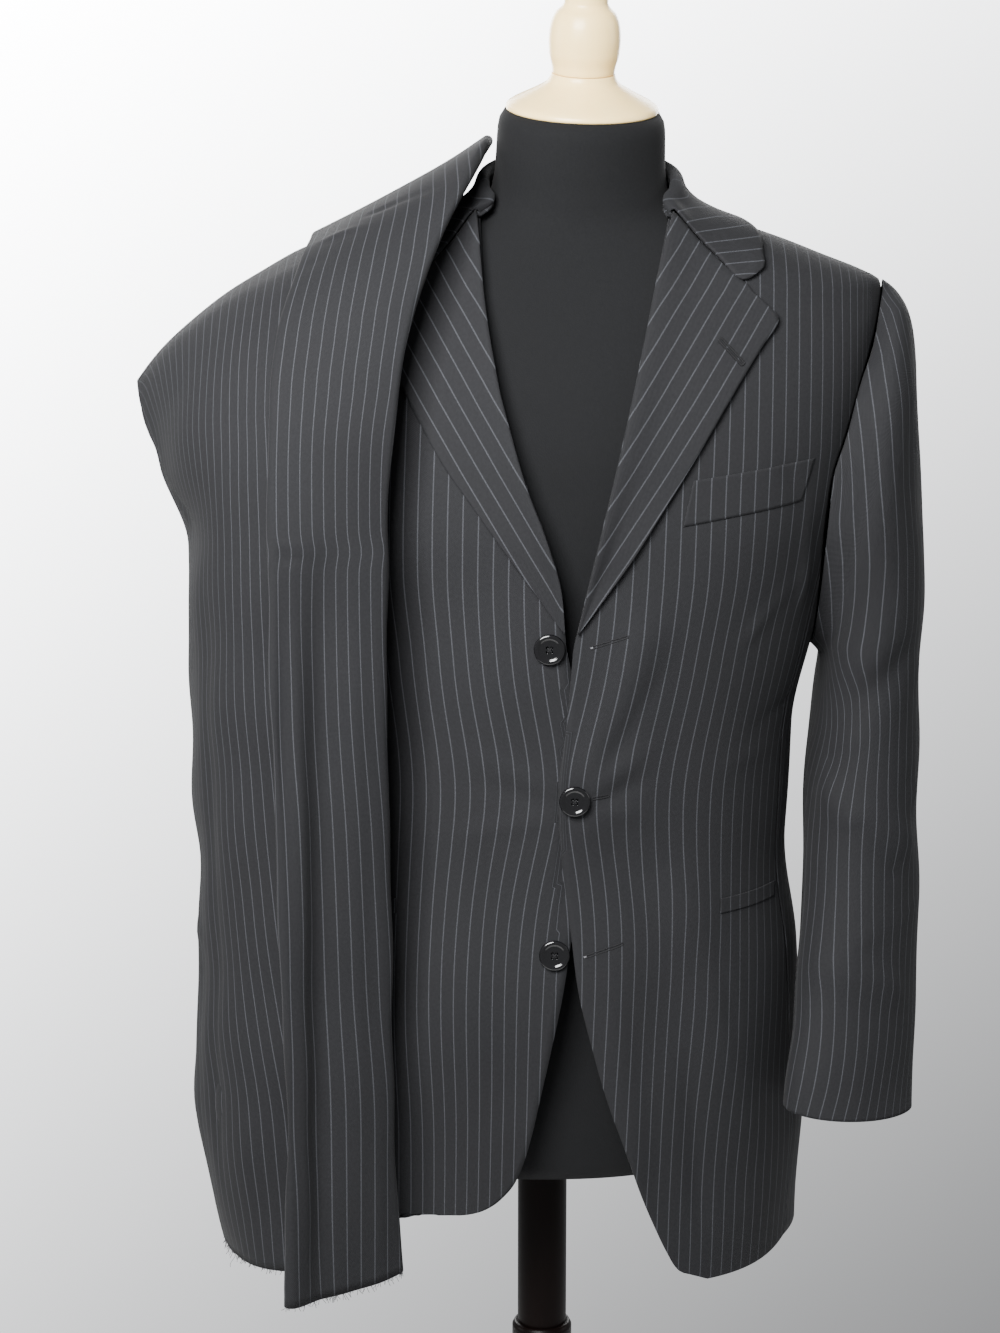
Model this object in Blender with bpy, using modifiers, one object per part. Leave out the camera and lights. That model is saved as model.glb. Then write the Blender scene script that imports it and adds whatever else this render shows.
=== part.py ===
"""Two-piece pinstripe suit on a dress form: a jacket worn open-chested on a smooth limbless form on a
turned stand, with the trousers folded leg on leg and hung over the wearer's right shoulder.

Metres, +Z up, the front faces -Y, and +X is the wearer's left. The origin is the centre of the stand's
underside. Everything above the pole leans a little to +X, so cloth and form are worked out in an upright
body frame and sheared by lean(). Cloth is a wall on a few section tables, pieces lie GAP apart."""

import math

import bpy
import numpy as np

COLLECTION = "suit_on_dress_form"


def table(columns, *rows):
    """Rows under named columns, kept as one tuple for each column."""
    return dict(zip(columns.split(), zip(*rows)))


GAP = 0.0003
WALL = 0.0016  # lined suiting
LAP = WALL + GAP  # what lies on a panel starts this far outside it
LEG_WALL = 0.0013  # unlined suiting

LEAN = 0.0305  # sideways shift for each metre of height
LEAN_FROM = 0.65

# The jacket's inner face, ring by ring: half width, depth to the front and to the back, roundness.
BODY = table(
    "z half front back power",
    (  0.66,    0.2,  0.15,  0.128,  2.3),
    (  0.76,  0.201,  0.15,  0.127,  2.3),
    ( 0.905,   0.19, 0.147,  0.121,  2.3),
    (   1.0, 0.1765, 0.142,  0.112,  2.3),
    (  1.08,  0.177, 0.143,  0.112,  2.3),
    ( 1.155,   0.19, 0.147,  0.118,  2.3),
    (  1.23,  0.206, 0.148,  0.125,  2.3),
    (  1.29,  0.218, 0.142,  0.127, 2.25),
    (  1.34,  0.226, 0.128,  0.122,  2.2),
    (  1.38,  0.229, 0.108,   0.11,  2.1),
    ( 1.415, 0.2275, 0.086,  0.094,  2.0),
    ( 1.423,  0.215, 0.082,   0.09,  2.0),
    (1.4385,  0.175, 0.074,  0.082,  2.0),
    ( 1.454,  0.131, 0.067,  0.074,  2.0),
    ( 1.468,  0.094, 0.061,  0.068,  2.0),
    ( 1.478,  0.079, 0.057,  0.067,  2.0),
    (  1.49,   0.07, 0.059,  0.067,  2.0),
    ( 1.515, 0.0665, 0.062, 0.0675,  2.0),
)
# The form inside it: it fills the shoulders and stands well clear below them.
FORM = table(
    "z half front back power",
    ( 0.735,  0.142,    0.1,  0.092, 2.2),
    ( 0.745,   0.15,  0.107,  0.099, 2.2),
    (   0.8,  0.162,  0.115,  0.106, 2.2),
    ( 0.905,  0.168,  0.119,  0.108, 2.2),
    (   1.0,  0.154,  0.116,  0.098, 2.2),
    (  1.08,  0.157,   0.12,    0.1, 2.2),
    ( 1.155,  0.168,  0.128,  0.108, 2.2),
    (  1.23,  0.184,  0.133,  0.116, 2.2),
    (  1.29,  0.198,   0.13,  0.121, 2.2),
    (  1.34,  0.209,  0.118,  0.116, 2.2),
    (  1.38, 0.2165,    0.1,  0.104, 2.2),
    ( 1.415,  0.219,  0.082,   0.09, 2.2),
    ( 1.423, 0.2085,  0.078,  0.086, 2.0),
    (1.4385,  0.169,   0.07,  0.078, 2.0),
    ( 1.454,  0.121,  0.063,   0.07, 2.0),
    ( 1.462,  0.093,  0.061,  0.066, 2.0),
    (  1.47,  0.075,   0.06,  0.064, 2.0),
    ( 1.485, 0.0665,   0.06,  0.063, 2.0),
    (   1.5,  0.064,  0.061,  0.062, 2.0),
    ( 1.534, 0.0625,  0.062,  0.062, 2.0),
    ( 1.543, 0.0578, 0.0575, 0.0575, 2.0),
)
# Angles round the body run from the front (0) by the wearer's left (90) to the back (180).
SIDE_FRONT, SIDE_BACK = 68.0, 114.0
SEAM_ANGLE = 0.25  # GAP, as an angle at the side of the chest
ARMHOLE = table(
    "z front back",
    ( 1.14, 90.0,  90.0),
    (1.146, 84.0,  96.0),
    (1.162, 77.0, 103.0),
    (1.185, 72.0, 109.0),
    ( 1.21, 68.0, 114.0),
    ( 1.25, 62.5, 117.0),
    ( 1.28, 60.5, 119.0),
    ( 1.31, 63.5, 117.0),
    ( 1.34, 67.0, 113.0),
    (1.365, 72.0, 108.0),
    ( 1.39, 78.5, 101.5),
    (1.405, 84.0,  96.0),
    (1.415, 90.0,  90.0),
)
ARMHOLE_LOW, ARMHOLE_TOP = 1.140, 1.415
NECK_Z = 1.474
SHOULDER_ROWS = (1.403, 1.415, 1.425, 1.4385, 1.454, 1.468, NECK_Z)
HEM_Z = 0.675  # at the sides and back
HEM_LEFT_Z, HEM_RIGHT_Z = 0.665, 0.715  # at the lowest point of each front

# Front edges, upwards from the hem: the sideways place of the edge at each height. Both end at the break.
LEFT_EDGE = table(
    "z x",
    (0.665,   0.124),
    ( 0.67,   0.113),
    (0.675,   0.102),
    (0.691,   0.092),
    (0.712,   0.082),
    (0.742,   0.069),
    (0.775,  0.0565),
    ( 0.82,    0.04),
    ( 0.86,  0.0278),
    (0.905,   0.016),
    ( 0.95,   0.009),
    (  1.0,  0.0012),
    (1.055, -0.0034),
    ( 1.11,   0.001),
    (1.165,  0.0036),
)
RIGHT_EDGE = table(
    "z x",
    (0.715,  -0.088),
    (0.717,  -0.066),
    (0.722,   -0.05),
    (0.731, -0.0375),
    (0.746,  -0.026),
    (0.775, -0.0165),
    ( 0.82,  -0.008),
    ( 0.86,  -0.001),
    (0.905,   0.006),
    ( 0.95,   0.011),
    (  1.0,  0.0165),
    (1.055,  0.0205),
    ( 1.11,   0.011),
    (1.165, -0.0016),
)
# Roll lines, from the break to the neck: sideways place at each end.
BREAK_Z = 1.165
ROLL_LEFT = table(
    "z x",
    (1.165, 0.0036),
    ( 1.32, 0.0355),
    (1.474, 0.0665),
)
ROLL_RIGHT = table(
    "z x",
    (1.165, -0.0016),
    (1.205,  -0.006),
    ( 1.24, -0.0166),
    (1.282, -0.0338),
    ( 1.32, -0.0465),
    (1.356,  -0.057),
    (1.418,  -0.069),
    (1.474,  -0.074),
)

# Lapels, row by row from the break to the gorge seam: height on the roll line, then the outer edge.
LAPEL = table(
    "roll_z edge_x edge_z right_shift",
    ( 1.176, 0.0085,  1.178,  -0.003),
    ( 1.195, 0.0225,  1.198, -0.0025),
    ( 1.225,  0.044,   1.23,     0.0),
    (  1.26,  0.065,  1.265,  0.0055),
    (   1.3, 0.0885,  1.304,  0.0105),
    (  1.34, 0.1125,  1.344,    0.01),
    ( 1.372,  0.133,  1.375,   0.008),
    ( 1.398, 0.1455,  1.393,   0.006),
    ( 1.423, 0.1375, 1.4035,   0.004),
    ( 1.446, 0.1265, 1.4135,   0.002),
    (1.4655,  0.118, 1.4212,     0.0),
)
OVERLAP_CLEAR = 0.0011  # room for the flat facets where the left front lies on the right one
LAPEL_WALL = 0.0022
LAPEL_ROLL = 0.0042

# Collar, from the gorge to the middle of the back: fold line and foot of the stand, and the fall's edge.
COLLAR = table(
    "fold_angle fold_z foot_angle foot_z inside edge_angle edge_z",
    ( 42.2, 1.4668,  38.1, 1.4650, 0.0042,  41.7, 1.4281),
    ( 47.0, 1.4745,  44.0, 1.4722, 0.0024,  51.5, 1.4400),
    ( 55.0, 1.4815,  52.5, 1.4747, 0.0000,  69.0, 1.4505),
    ( 67.0, 1.4860,  67.0, 1.4745, 0.0000,  84.0, 1.4565),
    ( 82.0, 1.4930,  82.0, 1.4745, 0.0000,  97.0, 1.4590),
    ( 98.0, 1.4980,  98.0, 1.4745, 0.0000, 112.0, 1.4600),
    (122.0, 1.5040, 122.0, 1.4745, 0.0000, 130.0, 1.4610),
    (150.0, 1.5090, 150.0, 1.4745, 0.0000, 154.0, 1.4625),
    (180.0, 1.5110, 180.0, 1.4745, 0.0000, 180.0, 1.4630),
)
GORGE_START_Z, GORGE_END, COLLAR_TIP = 1.4663, (0.1195, 1.4212), (0.1344, 1.4281)
COLLAR_WALL = 0.0020
COLLAR_FOLD = 0.0060  # across the fold, from the stand's inside to the fall's outside
COLLAR_CLEAR = 0.0010

BUTTON_RADIUS, BUTTON_THICK = 0.0115, 0.0042
BUTTON_PROFILE = (  # shares of the radius and of the thickness: sunk middle, round rim, flat back
    (0.0, 0.72), (0.62, 0.72), (0.74, 0.95), (0.86, 1.0), (0.96, 0.86),
    (1.0, 0.6), (0.97, 0.25), (0.80, 0.0), (0.0, 0.0),
)
BUTTONS = table(
    "name x z on_left_front lift",
    (   "button_top", -0.0136, 1.164, False, 0.0006),
    ("button_middle",  0.0085,  1.05,  True,  0.001),
    ("button_bottom", -0.0021, 0.931, False, 0.0001),
)

# Sleeves below the armhole, ring by ring: the outer and the inner point, and half the depth.
SLEEVE = table(
    "out_x out_y out_z in_x in_y in_z depth",
    (  0.24,    0.0, 1.4115,  0.201,    0.0,  1.132,  0.079),
    (  0.25,    0.0,  1.396,  0.201,    0.0,  1.124,   0.08),
    ( 0.256,    0.0,  1.368, 0.2005,    0.0,  1.116,   0.08),
    ( 0.261,    0.0,  1.325,    0.2,    0.0,  1.108,  0.079),
    ( 0.267,    0.0,   1.27, 0.1985,    0.0,  1.098,  0.077),
    (0.2735,    0.0,  1.215, 0.1965,    0.0,  1.085,  0.074),
    (0.2755,    0.0,   1.16, 0.1945,    0.0,  1.065,   0.07),
    (0.2755, -0.002,  1.098, 0.1935, -0.008,  1.035,  0.066),
    ( 0.279, -0.006,   1.02, 0.1935, -0.022,  0.985,   0.06),
    ( 0.283, -0.018,  0.935,  0.193, -0.048,   0.92,  0.053),
    (0.2835, -0.034,  0.865,  0.186,  -0.08,   0.86,  0.045),
    (0.2812, -0.052,  0.815, 0.1815, -0.098,  0.823,   0.04),
    (0.2798,  -0.07, 0.7855,   0.18, -0.104, 0.7975, 0.0385),
)
# The right sleeve lies closer to the body, pressed by the trousers that hang over it.
PRESS_FROM, PRESS_TO = 1.20, 0.88
PRESS = {"out_x": -0.024, "out_y": 0.062, "in_y": 0.085, "depth": 0.014}
SLEEVE_CLEAR = 0.0018
PRESSED_IN_X = 0.2050

# Welt and jets: sideways ends and heights on the front.
WELT = {"x": (0.0797, 0.0862), "x_end": (0.1676, 0.1756), "z": (1.2525, 1.2853), "z_end": (1.2654, 1.2958)}
JET_X, JET_ANGLE, JET_Z, JET_HEIGHT = 0.1200, 64.0, 0.9545, 0.011
TRIM_WALL, TRIM_CLEAR = 0.0014, 0.0008

# Trouser legs: rings along the drape, from the front hem over the shoulder to the back. Each ring is a
# flat tube on a curve from the neck side by the middle to the outer side.
LEG_A = table(
    "neck_x neck_y neck_z mid_x mid_y mid_z out_x out_y out_z thick",
    ( -0.109,  -0.15, 0.683, -0.149, -0.172, 0.6755, -0.1935, -0.203,  0.675,   0.01),
    ( -0.119, -0.155,   0.8, -0.156, -0.176,    0.8,  -0.198, -0.201,    0.8,  0.011),
    ( -0.124, -0.157,  0.92,  -0.16, -0.177,   0.92,  -0.203, -0.199,   0.92,  0.012),
    (-0.1275,  -0.16,  1.03, -0.164, -0.178,   1.03,  -0.208, -0.196,   1.03,  0.012),
    (-0.1325, -0.163,  1.13, -0.169, -0.178,   1.13,  -0.214, -0.191,   1.13,  0.012),
    ( -0.133, -0.166,  1.23, -0.172, -0.178,   1.23,  -0.217, -0.184,   1.23,  0.012),
    (  -0.13, -0.163,  1.31, -0.172, -0.172,   1.31,  -0.219, -0.172,  1.305,  0.011),
    ( -0.126, -0.152, 1.362,  -0.17,  -0.16,  1.356,  -0.219, -0.158,  1.348,   0.01),
    ( -0.119, -0.134, 1.405, -0.166,  -0.14,  1.395, -0.2165, -0.134,  1.386,  0.009),
    ( -0.101, -0.102, 1.455, -0.155, -0.102, 1.4428, -0.208, -0.094, 1.4218, 0.0085),
    ( -0.082, -0.062, 1.495, -0.143, -0.058, 1.4698, -0.202, -0.052, 1.4418, 0.008),
    ( -0.068,    0.0, 1.521, -0.134,    0.0, 1.4818,   -0.2,    0.0, 1.4468, 0.008),
    ( -0.067,   0.05, 1.520, -0.138,  0.052, 1.4758, -0.201,   0.05, 1.4418, 0.008),
    ( -0.088,   0.09, 1.478, -0.143,  0.098, 1.4498, -0.204,  0.094, 1.4238, 0.008),
)
LEG_B = table(
    "neck_x neck_y neck_z mid_x mid_y mid_z out_x out_y out_z thick",
    (-0.156,  -0.14,  0.682, -0.218, -0.116,  0.672,  -0.25,  -0.04, 0.666,  0.008),
    (-0.158, -0.142,    0.8,  -0.24, -0.122,    0.8, -0.276,  -0.03,   0.8,  0.008),
    ( -0.16, -0.142,   0.92,  -0.24, -0.124,   0.92, -0.271, -0.028,  0.92,  0.008),
    (-0.162, -0.142,   1.03, -0.244, -0.126,   1.03, -0.278, -0.026,  1.03,  0.008),
    (-0.164, -0.142,   1.13, -0.248, -0.128,   1.13, -0.284, -0.024,  1.13,  0.008),
    (-0.164, -0.142,   1.23, -0.248, -0.132,  1.225, -0.285,  -0.02, 1.218,  0.008),
    (-0.162, -0.138,  1.308, -0.252, -0.126,  1.295, -0.308, -0.018, 1.275, 0.0075),
    ( -0.16, -0.128,   1.35, -0.254, -0.116,  1.332, -0.318, -0.016,   1.3,  0.007),
    (-0.156, -0.112,  1.386, -0.252,   -0.1,  1.364, -0.324, -0.014, 1.316, 0.0065),
    (-0.148, -0.084, 1.4227, -0.248, -0.074, 1.3933, -0.328,  -0.01, 1.328,  0.006),
    ( -0.14, -0.046, 1.4487, -0.244,  -0.04, 1.4123,  -0.33, -0.005, 1.335,  0.006),
    (-0.134,    0.0, 1.4587, -0.242,    0.0, 1.4183, -0.331,    0.0, 1.338,  0.006),
    (-0.134,  0.046, 1.4537, -0.243,   0.04, 1.4133,  -0.33,  0.006, 1.334,  0.006),
    (-0.136,  0.088, 1.4347, -0.246,  0.076, 1.3943, -0.328,  0.014, 1.323,  0.006),
)
# The seat takes over behind the shoulder, folded at its centre seam, and hangs down to the waistband.
SEAT = table(
    "neck_x neck_y neck_z mid_x mid_y mid_z out_x out_y out_z thick",
    (-0.089, 0.0943, 1.4761, -0.2, 0.094, 1.4151, -0.3285, 0.015, 1.322, 0.02),
    (-0.094,  0.127,  1.415, -0.196,  0.122,   1.38,  -0.322, 0.048, 1.302,  0.02),
    (-0.096,  0.143,   1.35, -0.194,  0.136,   1.33,  -0.312, 0.072, 1.278, 0.019),
    (-0.096,  0.149,  1.275,  -0.19,  0.141,  1.265,  -0.296,  0.09,  1.24, 0.018),
    (-0.093,   0.15,  1.215, -0.185,  0.141,   1.21,   -0.28, 0.099, 1.202, 0.017),
    (-0.093,   0.15,  1.176, -0.185,  0.141,  1.176,   -0.28, 0.099, 1.176, 0.016),
)
WAISTBAND_HEIGHT, WAISTBAND_OUT = 0.040, 0.0012
LEG_ROWS, LEG_FACES = 23, 10  # rings along a leg, points across one face

# Soft folds: a line in space, its half width and its height, negative for a trough.
FOLDS = table(
    "x y z to_x to_y to_z width height",
    (  0.06, -0.15,  1.18,  0.014,  -0.15,  1.06, 0.016, 0.0035),
    (  0.03, -0.15,  1.02,   0.12,  -0.14,   0.9, 0.018, -0.004),
    (  0.09, -0.14,  0.98,   0.16,  -0.12,  0.76, 0.026,  0.005),
    ( -0.06, -0.15,   1.0,  -0.03,  -0.15,   0.8, 0.018, -0.004),
    (  0.19, -0.06,  1.04,   0.28,  -0.06, 0.985, 0.014, 0.0045),
    (   0.2, -0.09, 0.905,  0.285, -0.085, 0.875, 0.013,  0.004),
    (  0.27, -0.06,  1.15,    0.2,  -0.08,  1.09, 0.014, -0.004),
    (-0.178, -0.19,  1.23, -0.168,  -0.19,  0.67, 0.014, -0.007),
    ( -0.14, -0.17,  1.23, -0.128,  -0.16,  0.67, 0.016,  0.005),
    (  0.05,  0.12,  1.02,   0.07,   0.13,  0.72, 0.024,  0.005),
    ( -0.11,  0.11,  0.96,  -0.12,   0.13,   0.7, 0.024,  0.005),
    (  0.14,   0.1,  1.33,   0.15,   0.13,   1.2,  0.02,  0.004),
)

# Stand and cap, turned: (radius, height) down the outside.
BASE_PROFILE = ((0.0, 0.034), (0.060, 0.034), (0.150, 0.026), (0.196, 0.018), (0.204, 0.011), (0.202, 0.004),
                (0.196, 0.0), (0.0, 0.0))
COLUMN_PROFILE = ((0.0, 0.575), (0.0215, 0.575), (0.0240, 0.571), (0.0240, 0.558), (0.0215, 0.553),
                  (0.0230, 0.530),
                  (0.0270, 0.400), (0.0290, 0.250), (0.0300, 0.110), (0.0360, 0.070), (0.0520, 0.046),
                  (0.0540, 0.0343), (0.0, 0.0343))
POLE_RADIUS = 0.0196
POLE_LOW, POLE_TOP = 0.5753, 0.7347
CAP_TILT = 8.0
FORM_TOP = 1.543
CAP_Z = 1.5433
CAP_PROFILE = ((0.0, 0.0275), (0.0235, 0.0275), (0.0245, 0.0250), (0.0270, 0.0212), (0.0350, 0.0160),
               (0.0450, 0.0108),
               (0.0530, 0.0066), (0.0565, 0.0038), (0.0572, 0.0015), (0.0562, 0.0), (0.0, 0.0))
FINIAL_PROFILE = ((0.0, 0.1180), (0.0135, 0.1180), (0.0158, 0.1160), (0.0163, 0.1130), (0.0163, 0.0800),
                  (0.0180, 0.0765), (0.0225, 0.0720), (0.0258, 0.0630), (0.0268, 0.0530), (0.0262, 0.0430),
                  (0.0240, 0.0340), (0.0228, 0.0278), (0.0, 0.0278))

COLOURS = {  # base colour, roughness, metallic
    "suiting": ((0.050, 0.053, 0.060), 0.80, 0.0),
    "jersey": ((0.022, 0.024, 0.026), 0.90, 0.0),
    "pale_wood": ((0.80, 0.62, 0.38), 0.45, 0.0),
    "dark_wood": ((0.018, 0.010, 0.008), 0.35, 0.0),
    "button": ((0.010, 0.010, 0.011), 0.20, 0.0),
}


# ---------------------------------------------------------------- tables and curves


def smooth(at, xs, ys):
    """Monotone cubic through the points (xs rising), so that a table never overshoots."""
    xs, ys = np.asarray(xs, float), np.asarray(ys, float)
    at = np.clip(np.asarray(at, float), xs[0], xs[-1])
    step = np.diff(xs)
    slope = np.diff(ys) / step
    bend = np.zeros(len(xs))
    same = slope[:-1] * slope[1:] > 0
    total = slope[:-1] + slope[1:]
    bend[1:-1][same] = 2 * slope[:-1][same] * slope[1:][same] / total[same]
    bend[0], bend[-1] = slope[0], slope[-1]
    i = np.clip(np.searchsorted(xs, at, side="right") - 1, 0, len(step) - 1)
    t = (at - xs[i]) / step[i]
    h = step[i]
    return (
        ys[i] * (1 + 2 * t) * (1 - t) ** 2
        + bend[i] * h * t * (1 - t) ** 2
        + ys[i + 1] * t**2 * (3 - 2 * t)
        + bend[i + 1] * h * t**2 * (t - 1)
    )


def column(rows, key, at):
    """A column of a table, read at heights between its rows."""
    return smooth(at, rows["z"], rows[key])


def ease(t):
    t = np.clip(t, 0.0, 1.0)
    return t * t * (3 - 2 * t)


def signed_power(value, power):
    return np.sign(value) * np.abs(value) ** power


def lean(points):
    """From the upright body frame to the row frame."""
    moved = np.array(points, float)
    moved[..., 0] += LEAN * (moved[..., 2] - LEAN_FROM)
    return moved


# ---------------------------------------------------------------- the body's surface


def ring_point(sections, angle, z):
    angle, z = np.radians(angle), np.asarray(z, float)
    half, front, back, power = (column(sections, k, z) for k in ("half", "front", "back", "power"))
    across, ahead = np.sin(angle), np.cos(angle)
    depth = np.where(ahead > 0, front, back)
    x = half * signed_power(across, 2 / power)
    y = -depth * signed_power(ahead, 2 / power)
    return np.stack(np.broadcast_arrays(x, y, z), axis=-1)


def outward(angle, z):
    """The body surface's outward direction."""
    angle, z = np.broadcast_arrays(np.asarray(angle, float), np.asarray(z, float))
    round_it = ring_point(BODY, angle + 0.6, z) - ring_point(BODY, angle - 0.6, z)
    up_it = ring_point(BODY, angle, z + 0.002) - ring_point(BODY, angle, z - 0.002)
    normal = np.cross(round_it, up_it)
    return normal / np.linalg.norm(normal, axis=-1, keepdims=True)


def body_point(angle, z, out=0.0):
    return ring_point(BODY, angle, z) + outward(angle, z) * np.asarray(out, float)[..., None]


def angle_at(x, z):
    """The angle on the front at which the body's surface is x to the side."""
    half, power = column(BODY, "half", z), column(BODY, "power", z)
    share = np.clip(np.asarray(x, float) / half, -1, 1)
    return np.degrees(np.arcsin(signed_power(share, power / 2)))


def fold_height(points):
    """How far the folds move each point out."""
    moved = np.zeros(points.shape[:-1])
    for *ends, width, height in zip(*FOLDS.values()):
        start, end = np.array(ends[:3]), np.array(ends[3:])
        run = end - start
        t = ((points - start) @ run) / (run @ run)
        near = start + np.clip(t, 0, 1)[..., None] * run
        away = np.linalg.norm(points - near, axis=-1)
        fade = ease((t + 0.15) / 0.3) * ease((1.15 - t) / 0.3)
        moved += height * fade * np.exp(-((away / width) ** 2))
    return moved


def folded(points):
    """Moves a grid of points along its own normals by the folds."""
    along = np.gradient(points, axis=0)
    across = np.gradient(points, axis=1)
    normal = np.cross(across, along)
    normal /= np.maximum(np.linalg.norm(normal, axis=-1, keepdims=True), 1e-9)
    return points + normal * fold_height(points)[..., None]


# ---------------------------------------------------------------- objects


def material(name):
    found = bpy.data.materials.get(name)
    if found:
        return found
    colour, roughness, metallic = COLOURS[name]
    made = bpy.data.materials.new(name)
    made.use_nodes = True
    shader = made.node_tree.nodes["Principled BSDF"]
    shader.inputs["Base Color"].default_value = (*colour, 1.0)
    shader.inputs["Roughness"].default_value = roughness
    shader.inputs["Metallic"].default_value = metallic
    return made


def add_mesh(name, points, faces, look, edges=()):
    mesh = bpy.data.meshes.new(name)
    mesh.from_pydata([tuple(p) for p in points], edges, faces)
    mesh.materials.append(material(look))
    mesh.shade_smooth()
    made = bpy.data.objects.new(name, mesh)
    bpy.data.collections[COLLECTION].objects.link(made)
    return made


def grid_faces(rows, columns, closed):
    last = columns if closed else columns - 1
    return [
        tuple((r + up) * columns + (c + on) % columns for up, on in ((0, 0), (0, 1), (1, 1), (1, 0)))
        for r in range(rows - 1)
        for c in range(last)
    ]


def cloth(name, grid, wall, look="suiting", closed=False):
    """A wall on a grid of points: rows go up, columns go to the wearer's left round the front."""
    rows, columns = grid.shape[:2]
    made = add_mesh(name, lean(grid).reshape(-1, 3), grid_faces(rows, columns, closed), look)
    solid = made.modifiers.new("wall", "SOLIDIFY")
    solid.thickness = wall
    solid.offset = 1.0
    return made


def turned(name, profile, look, segments=40):
    """A turned shape: a profile down its outer side, with a Screw."""
    edges = [(i, i + 1) for i in range(len(profile) - 1)]
    made = add_mesh(name, [(r, 0.0, z) for r, z in profile], [], look, edges)
    screw = made.modifiers.new("turn", "SCREW")
    screw.steps = screw.render_steps = segments
    screw.use_merge_vertices = True
    screw.merge_threshold = 0.00001
    return made


# ---------------------------------------------------------------- form and stand


def form():
    neck_rows = (1.462, 1.470, 1.485, 1.502, 1.522, 1.536, FORM_TOP)
    body_rows = np.linspace(0.780, 1.385, 13)
    heights = np.concatenate([(0.735, 0.738, 0.745), body_rows, SHOULDER_ROWS[:-2], neck_rows])
    angles = np.arange(0, 360, 360 / 26)
    rings = ring_point(FORM, angles[None, :], heights[:, None])
    tilt = ease((heights - 1.490) / (CAP_Z - 1.490))[:, None]
    rings[..., 2] += (rings[..., 1] * math.tan(math.radians(CAP_TILT)) - rings[..., 0] * LEAN) * tilt
    rows, columns = rings.shape[:2]
    faces = grid_faces(rows, columns, True)
    faces.append(tuple(reversed(range(columns))))
    faces.append(tuple((rows - 1) * columns + c for c in range(columns)))
    add_mesh("dress_form", lean(rings).reshape(-1, 3), faces, "jersey")


def stand():
    turned("stand_base", BASE_PROFILE, "dark_wood", 36)
    turned("stand_column", COLUMN_PROFILE, "dark_wood", 20)
    pole = ((0.0, POLE_TOP), (POLE_RADIUS, POLE_TOP), (POLE_RADIUS, POLE_LOW), (0.0, POLE_LOW))
    turned("stand_pole", pole, "dark_wood", 20)
    for name, profile in (("neck_cap", CAP_PROFILE), ("neck_finial", FINIAL_PROFILE)):
        made = turned(name, profile, "pale_wood", 26)
        made.location = (LEAN * (CAP_Z - LEAN_FROM), 0.0, CAP_Z)
        made.rotation_euler = (math.radians(CAP_TILT), math.atan(LEAN), 0.0)


# ---------------------------------------------------------------- jacket


def front_edge_angle(z, edge, roll):
    x = np.where(z < BREAK_Z, column(edge, "x", z), column(roll, "x", z))
    return angle_at(x, z)


def front_outer_angle(z):
    """Side seam, then armhole, then shoulder seam."""
    hole = column(ARMHOLE, "front", z)
    return np.where(z < ARMHOLE["z"][4], SIDE_FRONT, np.where(z > ARMHOLE_TOP, 90.0, hole))


def overlap_out(x, z):
    """The left front lies over the right one from the break down."""
    near = 1 - ease((np.abs(x - 0.01) - 0.030) / 0.045)
    return (LAP + OVERLAP_CLEAR) * near * (1 - ease((z - 1.170) / 0.050))


def front_out(x, z, left):
    if left:
        return overlap_out(x, z)
    tucked = 0.020 * (1 - ease((z - 0.700) / 0.230)) * (1 - ease((np.abs(x + 0.055) - 0.030) / 0.070))
    return -tucked


def front(name, left):
    edge, roll, low = (LEFT_EDGE, ROLL_LEFT, HEM_LEFT_Z) if left else (RIGHT_EDGE, ROLL_RIGHT, HEM_RIGHT_Z)
    hem_rows = low + np.array([0, 0.003, 0.009, 0.022, 0.042])
    heights = np.concatenate([hem_rows, np.linspace(0.785, 1.385, 15), SHOULDER_ROWS])
    share = np.linspace(0, 1, 10)
    start = front_edge_angle(heights, edge, roll)
    if left:
        angles = start[:, None] + (front_outer_angle(heights) - start)[:, None] * share
    else:
        outer = -front_outer_angle(heights)
        angles = outer[:, None] + (start - outer)[:, None] * share
    to_side = share if left else share[::-1]
    z = heights[:, None] + (HEM_Z - low) * to_side**2 * (1 - ease((heights - low) / 0.15))[:, None]
    x = ring_point(BODY, angles, z)[..., 0]
    cloth(name, folded(body_point(angles, z, front_out(x, z, left))), WALL)


def side_body(name, left):
    """The panel under the arm: its top is the foot of the armhole."""
    share = np.linspace(0, 1, 7)
    first, last = SIDE_FRONT + SEAM_ANGLE, SIDE_BACK - SEAM_ANGLE
    angles = first + (last - first) * share
    low = ARMHOLE["z"][:5]
    top = np.where(
        angles < 90,
        np.interp(-angles, [-a for a in ARMHOLE["front"][:5]], low),
        np.interp(angles, ARMHOLE["back"][:5], low),
    )
    rise = np.linspace(0, 1, 12)[:, None]
    z = HEM_Z + (top - HEM_Z)[None, :] * rise
    angles = np.broadcast_to(angles if left else -angles[::-1], z.shape)
    z = z if left else z[:, ::-1]
    cloth(name, folded(body_point(angles, z)), WALL)


def back(name, left):
    heights = np.concatenate([np.linspace(HEM_Z, 1.385, 14), SHOULDER_ROWS])
    hole = column(ARMHOLE, "back", heights)
    outer = np.where(heights < ARMHOLE["z"][4], SIDE_BACK, np.maximum(hole, 90.0 + SEAM_ANGLE))
    centre = 180 - SEAM_ANGLE / 2
    share = np.linspace(0, 1, 8)
    if left:
        angles = outer[:, None] + (centre - outer)[:, None] * share
    else:
        angles = -centre + (centre - outer)[:, None] * share
    z = np.broadcast_to(heights[:, None], angles.shape)
    cloth(name, folded(body_point(angles, z)), WALL)


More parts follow.
